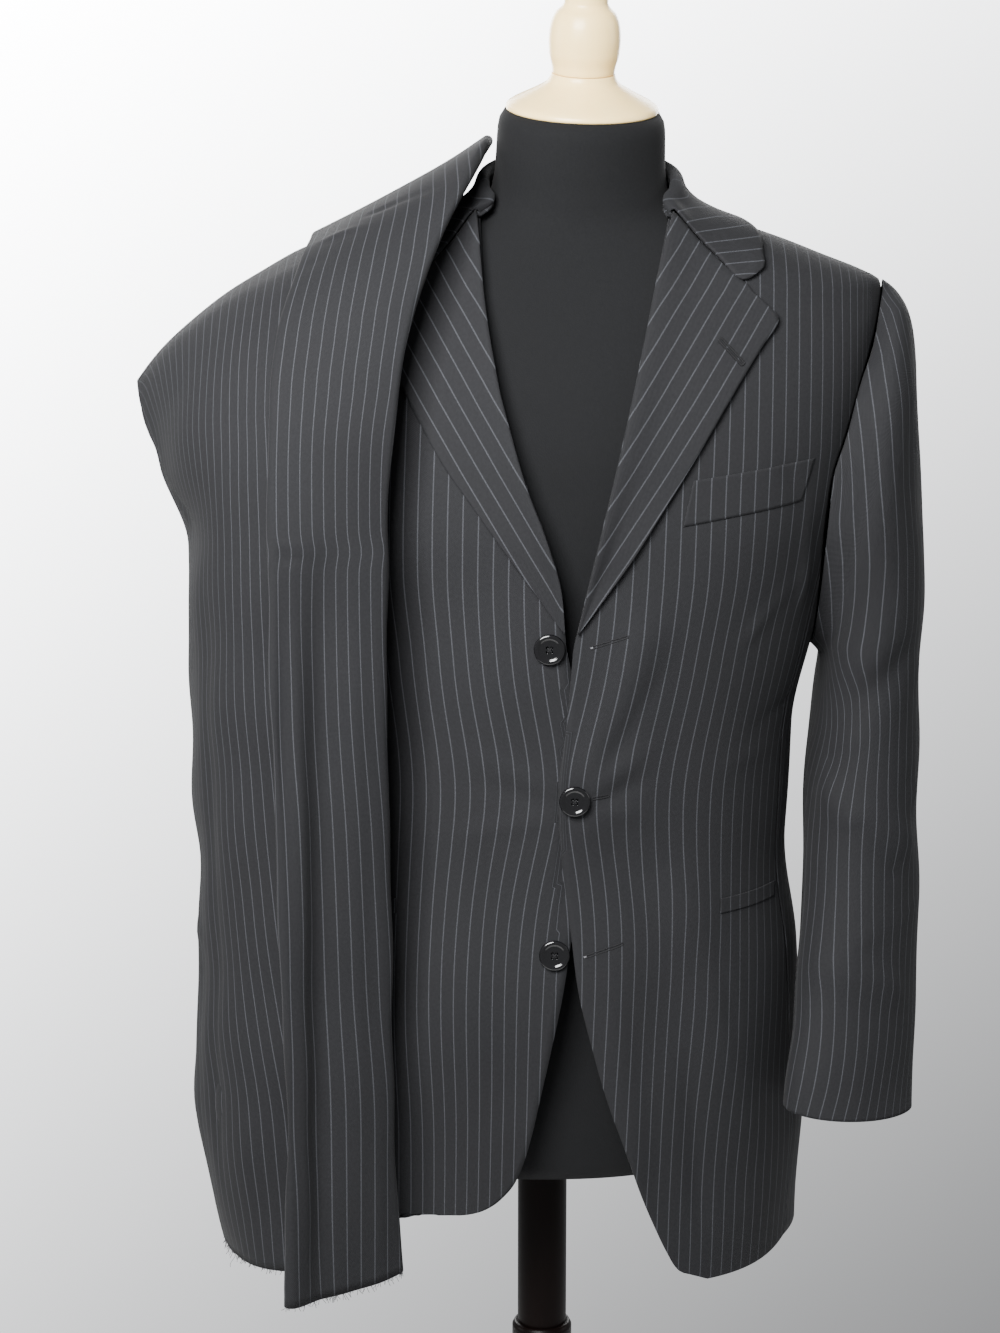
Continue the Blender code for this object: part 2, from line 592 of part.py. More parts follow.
def lapel(name, left):
    rows = len(LAPEL["roll_z"])
    share = np.linspace(0, 1, 7)
    along = np.concatenate([np.linspace(0, 7, 10), np.linspace(8, rows - 1, 4)])
    keys = ("roll_z", "edge_x", "edge_z", "right_shift")
    roll_z, edge_x, edge_z, shift = (smooth(along, range(rows), LAPEL[k]) for k in keys)
    start_x = column(ROLL_LEFT if left else ROLL_RIGHT, "x", roll_z)
    if not left:
        edge_x = -(edge_x + shift)
    x = start_x[:, None] + (edge_x - start_x)[:, None] * share
    z = roll_z[:, None] + (edge_z - roll_z)[:, None] * share
    rise = ease((roll_z - BREAK_Z) / 0.075)[:, None]
    out = LAP + 0.0007 + rise * (LAPEL_ROLL * np.exp(-((share / 0.22) ** 2)) + 0.0012 * share**3)
    out = out + overlap_out(x, z) * left
    grid = body_point(angle_at(x, z), z, out)
    if not left:
        grid = grid[:, ::-1]
    cloth(name, grid, LAPEL_WALL)


def collar_half(start_x):
    """Lines from the stand's foot over the fold to the fall's edge, from the gorge to the back's middle."""
    share = np.array([0.0, 0.27, 0.54, 0.82, 1.0])
    keys = ("fold_angle", "fold_z", "foot_angle", "foot_z", "inside", "edge_angle", "edge_z")
    fold_angle, fold_z, foot_angle, foot_z, inside, edge_angle, edge_z = (np.array(COLLAR[k]) for k in keys)
    angle = fold_angle[:, None] + (edge_angle - fold_angle)[:, None] * share
    z = fold_z[:, None] - COLLAR_FOLD / 2 + (edge_z - fold_z + COLLAR_FOLD / 2)[:, None] * share
    gorge_x = np.append(np.interp(share[:-1], (0, share[-2]), (start_x, GORGE_END[0])), COLLAR_TIP[0])
    z[0] = np.append(np.interp(share[:-1], (0, share[-2]), (GORGE_START_Z, GORGE_END[1])), COLLAR_TIP[1])
    angle[0] = angle_at(gorge_x, z[0])
    shift = (angle[0, 0] - fold_angle[0]) * np.exp(-np.arange(len(fold_z)) / 1.5)
    fold_angle, foot_angle = fold_angle + shift, foot_angle + shift
    angle[1:] += shift[1:, None] * (1 - share)
    fall_out = WALL + COLLAR_CLEAR + COLLAR_WALL
    out = fall_out + (inside[:, None] + COLLAR_FOLD - fall_out) * np.exp(-((share / 0.3) ** 2))
    along = np.linspace(0, len(fold_z) - 1, 13)
    lines = [
        (foot_angle, foot_z, inside),
        ((foot_angle + fold_angle) / 2, (foot_z + fold_z - COLLAR_FOLD / 2) / 2, inside),
        (fold_angle, fold_z - COLLAR_FOLD * 0.45, inside),
        (fold_angle, fold_z, inside + COLLAR_FOLD * 0.45),
        *zip(angle.T, z.T, out.T),
    ]
    stations = range(len(fold_z))
    return np.stack([body_point(*(smooth(along, stations, v) for v in line)) for line in lines], axis=1)


def collar():
    """Stand, fold and fall in one, from the right gorge round the back of the neck to the left one."""
    left = collar_half(float(column(ROLL_LEFT, "x", GORGE_START_Z)) + 0.0006)
    right = collar_half(0.0006 - float(column(ROLL_RIGHT, "x", GORGE_START_Z)))
    grid = np.concatenate([right * np.array([-1.0, 1.0, 1.0]), left[::-1][1:]])
    cloth("collar", grid.transpose(1, 0, 2), COLLAR_WALL)


def armhole_loop(count):
    """The armhole's edge from the shoulder down the front and up the back."""
    heights = np.linspace(ARMHOLE_TOP, ARMHOLE_LOW, 200)
    down = np.stack([column(ARMHOLE, "front", heights), heights], axis=-1)
    up = np.stack([column(ARMHOLE, "back", heights[::-1]), heights[::-1]], axis=-1)
    loop = np.concatenate([down, up[1:]])
    points = body_point(loop[:, 0], loop[:, 1], LAP + SLEEVE_CLEAR)
    run = np.concatenate([[0], np.cumsum(np.linalg.norm(np.diff(points, axis=0), axis=1))])
    at = np.arange(count) / count * run[-1]
    return np.stack([np.interp(at, run, points[:, k]) for k in range(3)], axis=-1)


def sleeve(name, left):
    count = 20
    keys = ("out_x", "out_y", "out_z", "in_x", "in_y", "in_z", "depth")
    rows = len(SLEEVE["depth"])
    along = np.concatenate([np.linspace(0, 6, 8), np.linspace(6.75, rows - 1, 10)])
    row = {k: smooth(along, range(rows), SLEEVE[k]) for k in keys}
    if not left:
        press = ease((PRESS_FROM - row["in_z"]) / (PRESS_FROM - PRESS_TO))
        for key, most in PRESS.items():
            row[key] = row[key] + most * press
        row["in_x"] = row["in_x"] + (PRESSED_IN_X - row["in_x"]) * press
    outer = np.stack([row["out_x"], row["out_y"], row["out_z"]], axis=-1)
    inner = np.stack([row["in_x"], row["in_y"], row["in_z"]], axis=-1)
    turn = np.arange(count) / count * 2 * math.pi
    middle, arm = (outer + inner) / 2, (outer - inner) / 2
    rings = middle[:, None] + arm[:, None] * np.cos(turn)[None, :, None]
    rings[..., 1] -= row["depth"][:, None] * np.sin(turn)
    grid = np.concatenate([armhole_loop(count)[None], rings])
    if not left:
        grid = grid[::-1] * np.array([-1.0, 1.0, 1.0])
    cloth(name, folded_ring(grid), WALL, closed=True)


def folded_ring(grid):
    """folded() on rings that close: the columns are wrapped for the normals."""
    wide = np.concatenate([grid[:, -1:], grid, grid[:, :1]], axis=1)
    return folded(wide)[:, 1:-1]


def patch(name, left, x_low, x_high, z_low, z_high, columns=8, rows=3):
    """A strip on the front: its ends are given at its lower and upper edge."""
    across, up = np.linspace(0, 1, columns)[None, :], np.linspace(0, 1, rows)[:, None]
    x_foot, x_head, z_foot, z_head = (a + (b - a) * across for a, b in (x_low, x_high, z_low, z_high))
    x = x_foot + (x_head - x_foot) * up
    z = z_foot + (z_head - z_foot) * up
    angle = angle_at(x, z)
    if not left:
        angle = -angle[:, ::-1]
        z = z[:, ::-1]
    bare = body_point(angle, z)
    grid = bare + outward(angle, z) * (fold_height(bare)[..., None] + WALL + TRIM_CLEAR)
    cloth(name, grid, TRIM_WALL)


def pockets():
    patch("breast_welt", True, (WELT["x"][0], WELT["x_end"][0]), (WELT["x"][1], WELT["x_end"][1]),
          (WELT["z"][0], WELT["z_end"][0]), (WELT["z"][1], WELT["z_end"][1]))
    end = ring_point(BODY, JET_ANGLE, JET_Z)[0]
    for name, left in (("hip_pocket_left", True), ("hip_pocket_right", False)):
        foot, head = (JET_Z, JET_Z), (JET_Z + JET_HEIGHT, JET_Z + JET_HEIGHT)
        patch(name, left, (JET_X, end), (JET_X, end), foot, head)


def buttons():
    r, t = BUTTON_RADIUS, BUTTON_THICK
    profile = [(r * out, t * up) for out, up in BUTTON_PROFILE]
    for name, x, z, over, lift in zip(*BUTTONS.values()):
        angle = float(angle_at(x, z))
        out = float(front_out(np.array(x), np.array(z), over)) if over else 0.0
        bare = body_point(np.array(angle), np.array(z), np.array(out))
        normal = outward(np.array(angle), np.array(z))
        seat = bare + normal * (float(fold_height(bare)) + WALL + lift)
        made = turned(name, profile, "button", 18)
        made.location = tuple(lean(seat))
        made.rotation_euler = (math.acos(normal[2]), 0.0, math.atan2(normal[1], normal[0]) + math.pi / 2)


# ---------------------------------------------------------------- trousers


def flat_rings(sections, rows, faces, shrink=0.0):
    """Rings of a flat tube: its curve across, moved both ways by half its thickness, with round edges."""
    count = len(sections["thick"])
    along = np.linspace(0, count - 1, rows)
    row = {k: smooth(along, range(count), v) for k, v in sections.items()}
    u = np.linspace(0, 1, 41)[None, :, None]
    shares = {"neck": (1 - u) * (1 - 2 * u), "mid": 4 * u * (1 - u), "out": u * (2 * u - 1)}
    spine = sum(
        np.stack([row[end + axis] for axis in ("_x", "_y", "_z")], axis=-1)[:, None] * part
        for end, part in shares.items()
    )
    normal = np.cross(np.gradient(spine, axis=0), np.gradient(spine, axis=1))
    normal /= np.linalg.norm(normal, axis=-1, keepdims=True)
    spine = spine + normal * fold_height(spine)[..., None]
    length = np.linalg.norm(np.diff(spine, axis=1), axis=-1).sum(1)
    half_thick = row["thick"] / 2 - shrink
    rings = np.empty((rows, 2 * faces - 2, 3))
    corner = np.linspace(0, math.pi / 2, 3)
    flat = np.linspace(0, 1, faces - 4)[1:-1]
    # A stadium: flat faces and half-round edges.
    for r in range(rows):
        run = np.concatenate([[0], np.cumsum(np.linalg.norm(np.diff(spine[r], axis=0), axis=1))])
        half = half_thick[r]
        inset = shrink + half
        span = length[r] - 2 * inset
        ends = inset - half * np.cos(corner), inset + span + half * np.sin(corner)
        at = np.concatenate([ends[0], inset + span * flat, ends[1]])
        lift = np.concatenate([half * np.sin(corner), np.full(len(flat), half), half * np.cos(corner)])
        place = np.stack([np.interp(at, run, spine[r, :, k]) for k in range(3)], axis=-1)
        facing = np.stack([np.interp(at, run, normal[r, :, k]) for k in range(3)], axis=-1)
        top = place + facing * lift[:, None]
        under = place - facing * lift[:, None]
        rings[r] = np.concatenate([top, under[::-1][1:-1]])
    return rings


def tube(name, outer, inner, look="suiting"):
    """A wall between two lofts of closed rings, open at both ends. Both sides split along one diagonal."""
    rows, columns = outer.shape[:2]
    faces = grid_faces(rows, columns, True)
    offset, top = rows * columns, (rows - 1) * columns
    faces += [tuple(offset + f[i] for i in (0, 3, 2, 1)) for f in grid_faces(rows, columns, True)]
    for c in range(columns):
        d = (c + 1) % columns
        faces.append((d, c, offset + c, offset + d))
        faces.append((top + c, top + d, offset + top + d, offset + top + c))
    points = np.concatenate([outer.reshape(-1, 3), inner.reshape(-1, 3)])
    if signed_volume(points, faces) < 0:
        faces = [tuple(f[i] for i in (0, 3, 2, 1)) for f in faces]
    return add_mesh(name, lean(points), faces, look)


def signed_volume(points, faces):
    total = 0.0
    for f in faces:
        a = points[f[0]]
        for i in range(1, len(f) - 1):
            total += np.dot(a, np.cross(points[f[i]], points[f[i + 1]]))
    return total / 6


def trousers():
    for name, rings in (("trouser_leg_left", LEG_A), ("trouser_leg_right", LEG_B)):
        tube(name, flat_rings(rings, LEG_ROWS, LEG_FACES), flat_rings(rings, LEG_ROWS, LEG_FACES, LEG_WALL))
    tube("trouser_seat", flat_rings(SEAT, 8, LEG_FACES), flat_rings(SEAT, 8, LEG_FACES, LEG_WALL))


def waistband():
    """The last ring of the seat, carried on down and a little outside it."""
    low = {k: (v[-1], v[-1]) for k, v in SEAT.items()}
    for part in ("neck", "mid", "out"):
        low[part + "_z"] = (SEAT[part + "_z"][-1] - GAP, SEAT[part + "_z"][-1] - GAP - WAISTBAND_HEIGHT)
    low["thick"] = (SEAT["thick"][-1] + WAISTBAND_OUT, SEAT["thick"][-1] + WAISTBAND_OUT)
    tube("waistband", flat_rings(low, 2, LEG_FACES), flat_rings(low, 2, LEG_FACES, LEG_WALL + WAISTBAND_OUT))


def main():
    for old in list(bpy.data.objects):
        bpy.data.objects.remove(old, do_unlink=True)
    bpy.context.scene.collection.children.link(bpy.data.collections.new(COLLECTION))
    form()
    stand()
    front("front_left", True)
    front("front_right", False)
    side_body("side_left", True)
    side_body("side_right", False)
    back("back_left", True)
    back("back_right", False)
    lapel("lapel_left", True)
    lapel("lapel_right", False)
    collar()
    sleeve("sleeve_left", True)
    sleeve("sleeve_right", False)
    pockets()
    buttons()
    trousers()
    waistband()


main()
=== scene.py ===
"""The looks of a pinstripe suit on a dress form: every cloth piece as a fine thin shell on its solid's form,
with its creases, stripes and sewing, and the form, cap, stand and buttons with their finish."""

import math

import bpy
import numpy as np
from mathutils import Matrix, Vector


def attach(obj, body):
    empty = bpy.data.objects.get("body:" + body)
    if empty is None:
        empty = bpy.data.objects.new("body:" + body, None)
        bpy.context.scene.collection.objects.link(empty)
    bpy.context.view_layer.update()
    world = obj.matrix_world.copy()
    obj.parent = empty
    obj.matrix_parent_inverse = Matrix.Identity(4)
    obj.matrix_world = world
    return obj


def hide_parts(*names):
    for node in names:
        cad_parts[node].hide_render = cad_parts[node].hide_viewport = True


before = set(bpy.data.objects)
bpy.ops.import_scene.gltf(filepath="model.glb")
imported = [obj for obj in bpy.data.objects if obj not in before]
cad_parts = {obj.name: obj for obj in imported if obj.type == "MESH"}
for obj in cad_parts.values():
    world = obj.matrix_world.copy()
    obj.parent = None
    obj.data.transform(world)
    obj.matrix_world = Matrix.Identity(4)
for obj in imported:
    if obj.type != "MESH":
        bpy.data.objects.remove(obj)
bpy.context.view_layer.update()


MM = 1000  # for a table whose numbers are millimetres, and all others are in metres and degrees


def table(columns, text, unit=1):
    """The rows of a plain text table, kept as one tuple for each named column."""
    rows = [row.split() for row in text.split("\n") if row]
    rows = [[cell if cell[0].isalpha() else float(cell) / unit for cell in row] for row in rows]
    return dict(zip(columns.split(), zip(*rows)))


GAP = 0.0003
WALL = 0.0016  # lined suiting
LAP = WALL + GAP  # what lies on a panel starts this far outside it
LEG_WALL = 0.0013  # unlined suiting

LEAN = 0.0305  # sideways shift for each metre of height
LEAN_FROM = 0.65

# The jacket's inner face, ring by ring: half width, depth to the front and to the back, roundness.
BODY = table("z half front back power", """
0.66 0.2 0.15 0.128 2.3
0.76 0.201 0.15 0.127 2.3
0.905 0.19 0.147 0.121 2.3
1 0.1765 0.142 0.112 2.3
1.08 0.177 0.143 0.112 2.3
1.155 0.19 0.147 0.118 2.3
1.23 0.206 0.148 0.125 2.3
1.29 0.218 0.142 0.127 2.25
1.34 0.226 0.128 0.122 2.2
1.38 0.229 0.108 0.11 2.1
1.415 0.2275 0.086 0.094 2
1.423 0.215 0.082 0.09 2
1.4385 0.175 0.074 0.082 2
1.454 0.131 0.067 0.074 2
1.468 0.094 0.061 0.068 2
1.478 0.079 0.057 0.067 2
1.49 0.07 0.059 0.067 2
1.515 0.0665 0.062 0.0675 2
""")
# The form inside it: it fills the shoulders and stands well clear below them.
FORM = table("z half front back power", """
0.735 0.142 0.1 0.092 2.2
0.745 0.15 0.107 0.099 2.2
0.8 0.162 0.115 0.106 2.2
0.905 0.168 0.119 0.108 2.2
1 0.154 0.116 0.098 2.2
1.08 0.157 0.12 0.1 2.2
1.155 0.168 0.128 0.108 2.2
1.23 0.184 0.133 0.116 2.2
1.29 0.198 0.13 0.121 2.2
1.34 0.209 0.118 0.116 2.2
1.38 0.2165 0.1 0.104 2.2
1.415 0.219 0.082 0.09 2.2
1.423 0.2085 0.078 0.086 2
1.4385 0.169 0.07 0.078 2
1.454 0.121 0.063 0.07 2
1.462 0.093 0.061 0.066 2
1.47 0.075 0.06 0.064 2
1.485 0.0665 0.06 0.063 2
1.5 0.064 0.061 0.062 2
1.534 0.0625 0.062 0.062 2
1.543 0.0578 0.0575 0.0575 2
""")
# Angles round the body run from the front (0) by the wearer's left (90) to the back (180).
SIDE_FRONT, SIDE_BACK = 68.0, 114.0
SEAM_ANGLE = 0.25  # GAP, as an angle at the side of the chest
ARMHOLE = table("z front back", """
1.14 90 90
1.146 84 96
1.162 77 103
1.185 72 109
1.21 68 114
1.25 62.5 117
1.28 60.5 119
1.31 63.5 117
1.34 67 113
1.365 72 108
1.39 78.5 101.5
1.405 84 96
1.415 90 90
""")
ARMHOLE_LOW, ARMHOLE_TOP = 1.140, 1.415
NECK_Z = 1.474
HEM_Z = 0.675  # at the sides and back
HEM_LEFT_Z, HEM_RIGHT_Z = 0.665, 0.715  # at the lowest point of each front

# Front edges, upwards from the hem: the edge's sideways place at each height. Both end at the break.
LEFT_EDGE = table("z x", """
665 124
670 113
675 102
691 92
712 82
742 69
775 56.5
820 40
860 27.8
905 16
950 9
1000 1.2
1055 -3.4
1110 1
1165 3.6
""", MM)
RIGHT_EDGE = table("z x", """
715 -88
717 -66
722 -50
731 -37.5
746 -26
775 -16.5
820 -8
860 -1
905 6
950 11
1000 16.5
1055 20.5
1110 11
1165 -1.6
""", MM)
# Roll lines, from the break to the neck: sideways place at each end.
BREAK_Z = 1.165
ROLL_LEFT = table("z x", """
1165 3.6
1320 35.5
1474 66.5
""", MM)
ROLL_RIGHT = table("z x", """
1165 -1.6
1205 -6
1240 -16.6
1282 -33.8
1320 -46.5
1356 -57
1418 -69
1474 -74
""", MM)

# Lapels, row by row from the break to the gorge seam: height on the roll line, then the outer edge.
LAPEL = table("roll_z edge_x edge_z right_shift", """
1176 8.5 1178 -3
1195 22.5 1198 -2.5
1225 44 1230 0
1260 65 1265 5.5
1300 88.5 1304 10.5
1340 112.5 1344 10
1372 133 1375 8
1398 145.5 1393 6
1423 137.5 1403.5 4
1446 126.5 1413.5 2
1465.5 118 1421.2 0
""", MM)
OVERLAP_CLEAR = 0.0011  # room for the flat facets where the left front lies on the right one
LAPEL_WALL = 0.0022
LAPEL_ROLL = 0.0042

# Collar, from the gorge to the middle of the back: fold line and foot of the stand, and the fall's edge.
COLLAR = table("fold_angle fold_z foot_angle foot_z inside edge_angle edge_z", """
42.2 1.4668 38.1 1.465 0.0042 41.7 1.4281
47 1.4745 44 1.4722 0.0024 51.5 1.44
55 1.4815 52.5 1.4747 0 69 1.4505
67 1.486 67 1.4745 0 84 1.4565
82 1.493 82 1.4745 0 97 1.459
98 1.498 98 1.4745 0 112 1.46
122 1.504 122 1.4745 0 130 1.461
150 1.509 150 1.4745 0 154 1.4625
180 1.511 180 1.4745 0 180 1.463
""")
GORGE_START_Z, GORGE_END, COLLAR_TIP = 1.4663, (0.1195, 1.4212), (0.1344, 1.4281)
COLLAR_WALL = 0.0020
COLLAR_FOLD = 0.0060  # across the fold, from the stand's inside to the fall's outside
COLLAR_CLEAR = 0.0010

BUTTON_RADIUS, BUTTON_THICK = 0.0115, 0.0042
BUTTON_PROFILE = (  # shares of the radius and of the thickness: sunk middle, round rim, flat back
    (0.0, 0.72), (0.62, 0.72), (0.74, 0.95), (0.86, 1.0), (0.96, 0.86),
    (1.0, 0.6), (0.97, 0.25), (0.80, 0.0), (0.0, 0.0),
)
BUTTONS = table("name x z on_left_front lift", """
button_top -0.0136 1.164 0 0.0006
button_middle 0.0085 1.05 1 0.001
button_bottom -0.0021 0.931 0 0.0001
""")

# Sleeves below the armhole, ring by ring: the outer and the inner point, and half the depth.
SLEEVE = table("out_x out_y out_z in_x in_y in_z depth", """
240 0 1411.5 201 0 1132 79
250 0 1396 201 0 1124 80
256 0 1368 200.5 0 1116 80
261 0 1325 200 0 1108 79
267 0 1270 198.5 0 1098 77
273.5 0 1215 196.5 0 1085 74
275.5 0 1160 194.5 0 1065 70
275.5 -2 1098 193.5 -8 1035 66
279 -6 1020 193.5 -22 985 60
283 -18 935 193 -48 920 53
283.5 -34 865 186 -80 860 45
281.2 -52 815 181.5 -98 823 40
279.8 -70 785.5 180 -104 797.5 38.5
""", MM)
# The right sleeve lies closer to the body, pressed by the trousers that hang over it.
PRESS_FROM, PRESS_TO = 1.20, 0.88
PRESS = {"out_x": -0.024, "out_y": 0.062, "in_y": 0.085, "depth": 0.014}
SLEEVE_CLEAR = 0.0018
PRESSED_IN_X = 0.2050

# The welt's two ends, sideways at its foot and at its head, and then their heights.
WELT = (0.0797, 0.1676), (0.0862, 0.1756), (1.2525, 1.2654), (1.2853, 1.2958)
JET_X, JET_ANGLE, JET_Z, JET_HEIGHT = 0.1200, 64.0, 0.9545, 0.011
TRIM_WALL, TRIM_CLEAR = 0.0006, 0.0002  # the drawn strips, thinner than their solids

# Trouser legs: rings along the drape, from the front hem over the shoulder to the back. Each ring is a
# flat tube on a curve from the neck side by the middle to the outer side.
LEG_A = table("neck_x neck_y neck_z mid_x mid_y mid_z out_x out_y out_z thick", """
-109 -150 683 -149 -172 675.5 -193.5 -203 675 10
-119 -155 800 -156 -176 800 -198 -201 800 11
-124 -157 920 -160 -177 920 -203 -199 920 12
-127.5 -160 1030 -164 -178 1030 -208 -196 1030 12
-132.5 -163 1130 -169 -178 1130 -214 -191 1130 12
-133 -166 1230 -172 -178 1230 -217 -184 1230 12
-130 -163 1310 -172 -172 1310 -219 -172 1305 11
-126 -152 1362 -170 -160 1356 -219 -158 1348 10
-119 -134 1405 -166 -140 1395 -216.5 -134 1386 9
-101 -102 1455 -155 -102 1442.8 -208 -94 1421.8 8.5
-82 -62 1495 -143 -58 1469.8 -202 -52 1441.8 8
-68 0 1521 -134 0 1481.8 -200 0 1446.8 8
-67 50 1520 -138 52 1475.8 -201 50 1441.8 8
-88 90 1478 -143 98 1449.8 -204 94 1423.8 8
""", MM)
LEG_B = table("neck_x neck_y neck_z mid_x mid_y mid_z out_x out_y out_z thick", """
-156 -140 682 -218 -116 672 -250 -40 666 8
-158 -142 800 -240 -122 800 -276 -30 800 8
-160 -142 920 -240 -124 920 -271 -28 920 8
-162 -142 1030 -244 -126 1030 -278 -26 1030 8
-164 -142 1130 -248 -128 1130 -284 -24 1130 8
-164 -142 1230 -248 -132 1225 -285 -20 1218 8
-162 -138 1308 -252 -126 1295 -308 -18 1275 7.5
-160 -128 1350 -254 -116 1332 -318 -16 1300 7
-156 -112 1386 -252 -100 1364 -324 -14 1316 6.5
-148 -84 1422.7 -248 -74 1393.3 -328 -10 1328 6
-140 -46 1448.7 -244 -40 1412.3 -330 -5 1335 6
-134 0 1458.7 -242 0 1418.3 -331 0 1338 6
-134 46 1453.7 -243 40 1413.3 -330 6 1334 6
-136 88 1434.7 -246 76 1394.3 -328 14 1323 6
""", MM)
# The seat takes over behind the shoulder, folded at its centre seam, and hangs down to the waistband.
SEAT = table("neck_x neck_y neck_z mid_x mid_y mid_z out_x out_y out_z thick", """
-89 94.3 1476.1 -200 94 1415.1 -328.5 15 1322 20
-94 127 1415 -196 122 1380 -322 48 1302 20
-96 143 1350 -194 136 1330 -312 72 1278 19
-96 149 1275 -190 141 1265 -296 90 1240 18
-93 150 1215 -185 141 1210 -280 99 1202 17
-93 150 1176 -185 141 1176 -280 99 1176 16
""", MM)
WAISTBAND_HEIGHT, WAISTBAND_OUT = 0.040, 0.0012
LEG_GRID, SEAT_GRID, BAND_GRID = (220, 60), (60, 60), (14, 60)  # rings, and points across one face

# Soft folds: a line in space, its half width and its height, negative for a trough.
FOLDS = table("x y z to_x to_y to_z width height", """
60 -150 1180 14 -150 1060 16 3.5
30 -150 1020 120 -140 900 18 -4
90 -140 980 160 -120 760 26 5
-60 -150 1000 -30 -150 800 18 -4
190 -60 1040 280 -60 985 14 4.5
200 -90 905 285 -85 875 13 4
270 -60 1150 200 -80 1090 14 -4
-178 -190 1230 -168 -190 670 14 -7
-140 -170 1230 -128 -160 670 16 5
50 120 1020 70 130 720 24 5
-110 110 960 -120 130 700 24 5
140 100 1330 150 130 1200 20 4
""", MM)

# Turned pieces: radius and height, from the middle of the top to the middle of the foot.
BASE_PROFILE = (
    (0.0, 0.034), (0.060, 0.034), (0.150, 0.026), (0.196, 0.018), (0.204, 0.011), (0.202, 0.004),
    (0.196, 0.0), (0.0, 0.0),
)
COLUMN_PROFILE = (
    (0.0, 0.575), (0.0215, 0.575), (0.024, 0.571), (0.024, 0.558), (0.0215, 0.553), (0.023, 0.53),
    (0.027, 0.4), (0.029, 0.25), (0.03, 0.11), (0.036, 0.07), (0.052, 0.046), (0.054, 0.0343), (0.0, 0.0343),
)
POLE_RADIUS = 0.0196
POLE_LOW, POLE_TOP = 0.5753, 0.7347
CAP_TILT = 8.0
FORM_TOP = 1.543
CAP_Z = 1.5433
CAP_PROFILE = (
    (0.0, 0.0275), (0.0235, 0.0275), (0.0245, 0.025), (0.027, 0.0212), (0.035, 0.016), (0.045, 0.0108),
    (0.053, 0.0066), (0.0565, 0.0038), (0.0572, 0.0015), (0.0562, 0.0), (0.0, 0.0),
)
FINIAL_PROFILE = (
    (0.0, 0.118), (0.0135, 0.118), (0.0158, 0.116), (0.0163, 0.113), (0.0163, 0.08), (0.018, 0.0765),
    (0.0225, 0.072), (0.0258, 0.063), (0.0268, 0.053), (0.0262, 0.043), (0.024, 0.034), (0.0228, 0.0278),
    (0.0, 0.0278),
)


def smooth(at, xs, ys):
    """Monotone cubic through the points (xs rising), so that a table never overshoots."""
    xs, ys = np.asarray(xs, float), np.asarray(ys, float)
    at = np.clip(np.asarray(at, float), xs[0], xs[-1])
    step = np.diff(xs)
    slope = np.diff(ys) / step
    bend = np.zeros(len(xs))
    same = slope[:-1] * slope[1:] > 0
    total = slope[:-1] + slope[1:]
    bend[1:-1][same] = 2 * slope[:-1][same] * slope[1:][same] / total[same]
    bend[0], bend[-1] = slope[0], slope[-1]
    i = np.clip(np.searchsorted(xs, at, side="right") - 1, 0, len(step) - 1)
    t = (at - xs[i]) / step[i]
    h = step[i]
    return (
        ys[i] * (1 + 2 * t) * (1 - t) ** 2
        + bend[i] * h * t * (1 - t) ** 2
        + ys[i + 1] * t**2 * (3 - 2 * t)
        + bend[i + 1] * h * t**2 * (t - 1)
    )


def column(rows, key, at):
    """A column of a table, read at heights between its rows."""
    return smooth(at, rows["z"], rows[key])


def ease(t):
    t = np.clip(t, 0.0, 1.0)
    return t * t * (3 - 2 * t)


def evenly(count):
    """Shares from 0 to 1."""
    return np.linspace(0, 1, count)


def size_of(vectors):
    return np.linalg.norm(vectors, axis=-1)


def unit(vectors):
    return vectors / np.linalg.norm(vectors, axis=-1, keepdims=True)


def run_along(points):
    """Distance along each row of points from its first one."""
    run = np.cumsum(size_of(np.diff(points, axis=-2)), axis=-1)
    return np.concatenate([np.zeros_like(run[..., :1]), run], axis=-1)


def closed_round(rings):
    """Rings with their first point again at the end."""
    return np.concatenate([rings, rings[:, :1]], axis=1)


def signed_power(value, power):
    return np.sign(value) * np.abs(value) ** power


def lean(points):
    """From the upright body frame to the row frame."""
    moved = np.array(points, float)
    moved[..., 0] += LEAN * (moved[..., 2] - LEAN_FROM)
    return moved


# ---------------------------------------------------------------- the body's surface


def ring_point(sections, angle, z):
    angle, z = np.radians(angle), np.asarray(z, float)
    half, front, back, power = (column(sections, k, z) for k in ("half", "front", "back", "power"))
    across, ahead = np.sin(angle), np.cos(angle)
    depth = np.where(ahead > 0, front, back)
    x = half * signed_power(across, 2 / power)
    y = -depth * signed_power(ahead, 2 / power)
    return np.stack(np.broadcast_arrays(x, y, z), axis=-1)


def outward(angle, z):
    """The body surface's outward direction."""
    angle, z = np.broadcast_arrays(np.asarray(angle, float), np.asarray(z, float))
    round_it = ring_point(BODY, angle + 0.6, z) - ring_point(BODY, angle - 0.6, z)
    up_it = ring_point(BODY, angle, z + 0.002) - ring_point(BODY, angle, z - 0.002)
    return unit(np.cross(round_it, up_it))


def body_point(angle, z, out=0.0):
    return ring_point(BODY, angle, z) + outward(angle, z) * np.asarray(out, float)[..., None]


def angle_at(x, z):
    """The angle on the front at which the body's surface is x to the side."""
    half, power = column(BODY, "half", z), column(BODY, "power", z)
    share = np.clip(np.asarray(x, float) / half, -1, 1)
    return np.degrees(np.arcsin(signed_power(share, power / 2)))


def fold_height(points):
    """How far the folds move each point out."""
    moved = np.zeros(points.shape[:-1])
    for *ends, width, height in zip(*FOLDS.values()):
        start = np.array(ends[:3])
        run = np.array(ends[3:]) - start
        t = ((points - start) @ run) / (run @ run)
        near = start + np.clip(t, 0, 1)[..., None] * run
        away = size_of(points - near)
        fade = ease((t + 0.15) / 0.3) * ease((1.15 - t) / 0.3)
        moved += height * fade * np.exp(-((away / width) ** 2))
    return moved


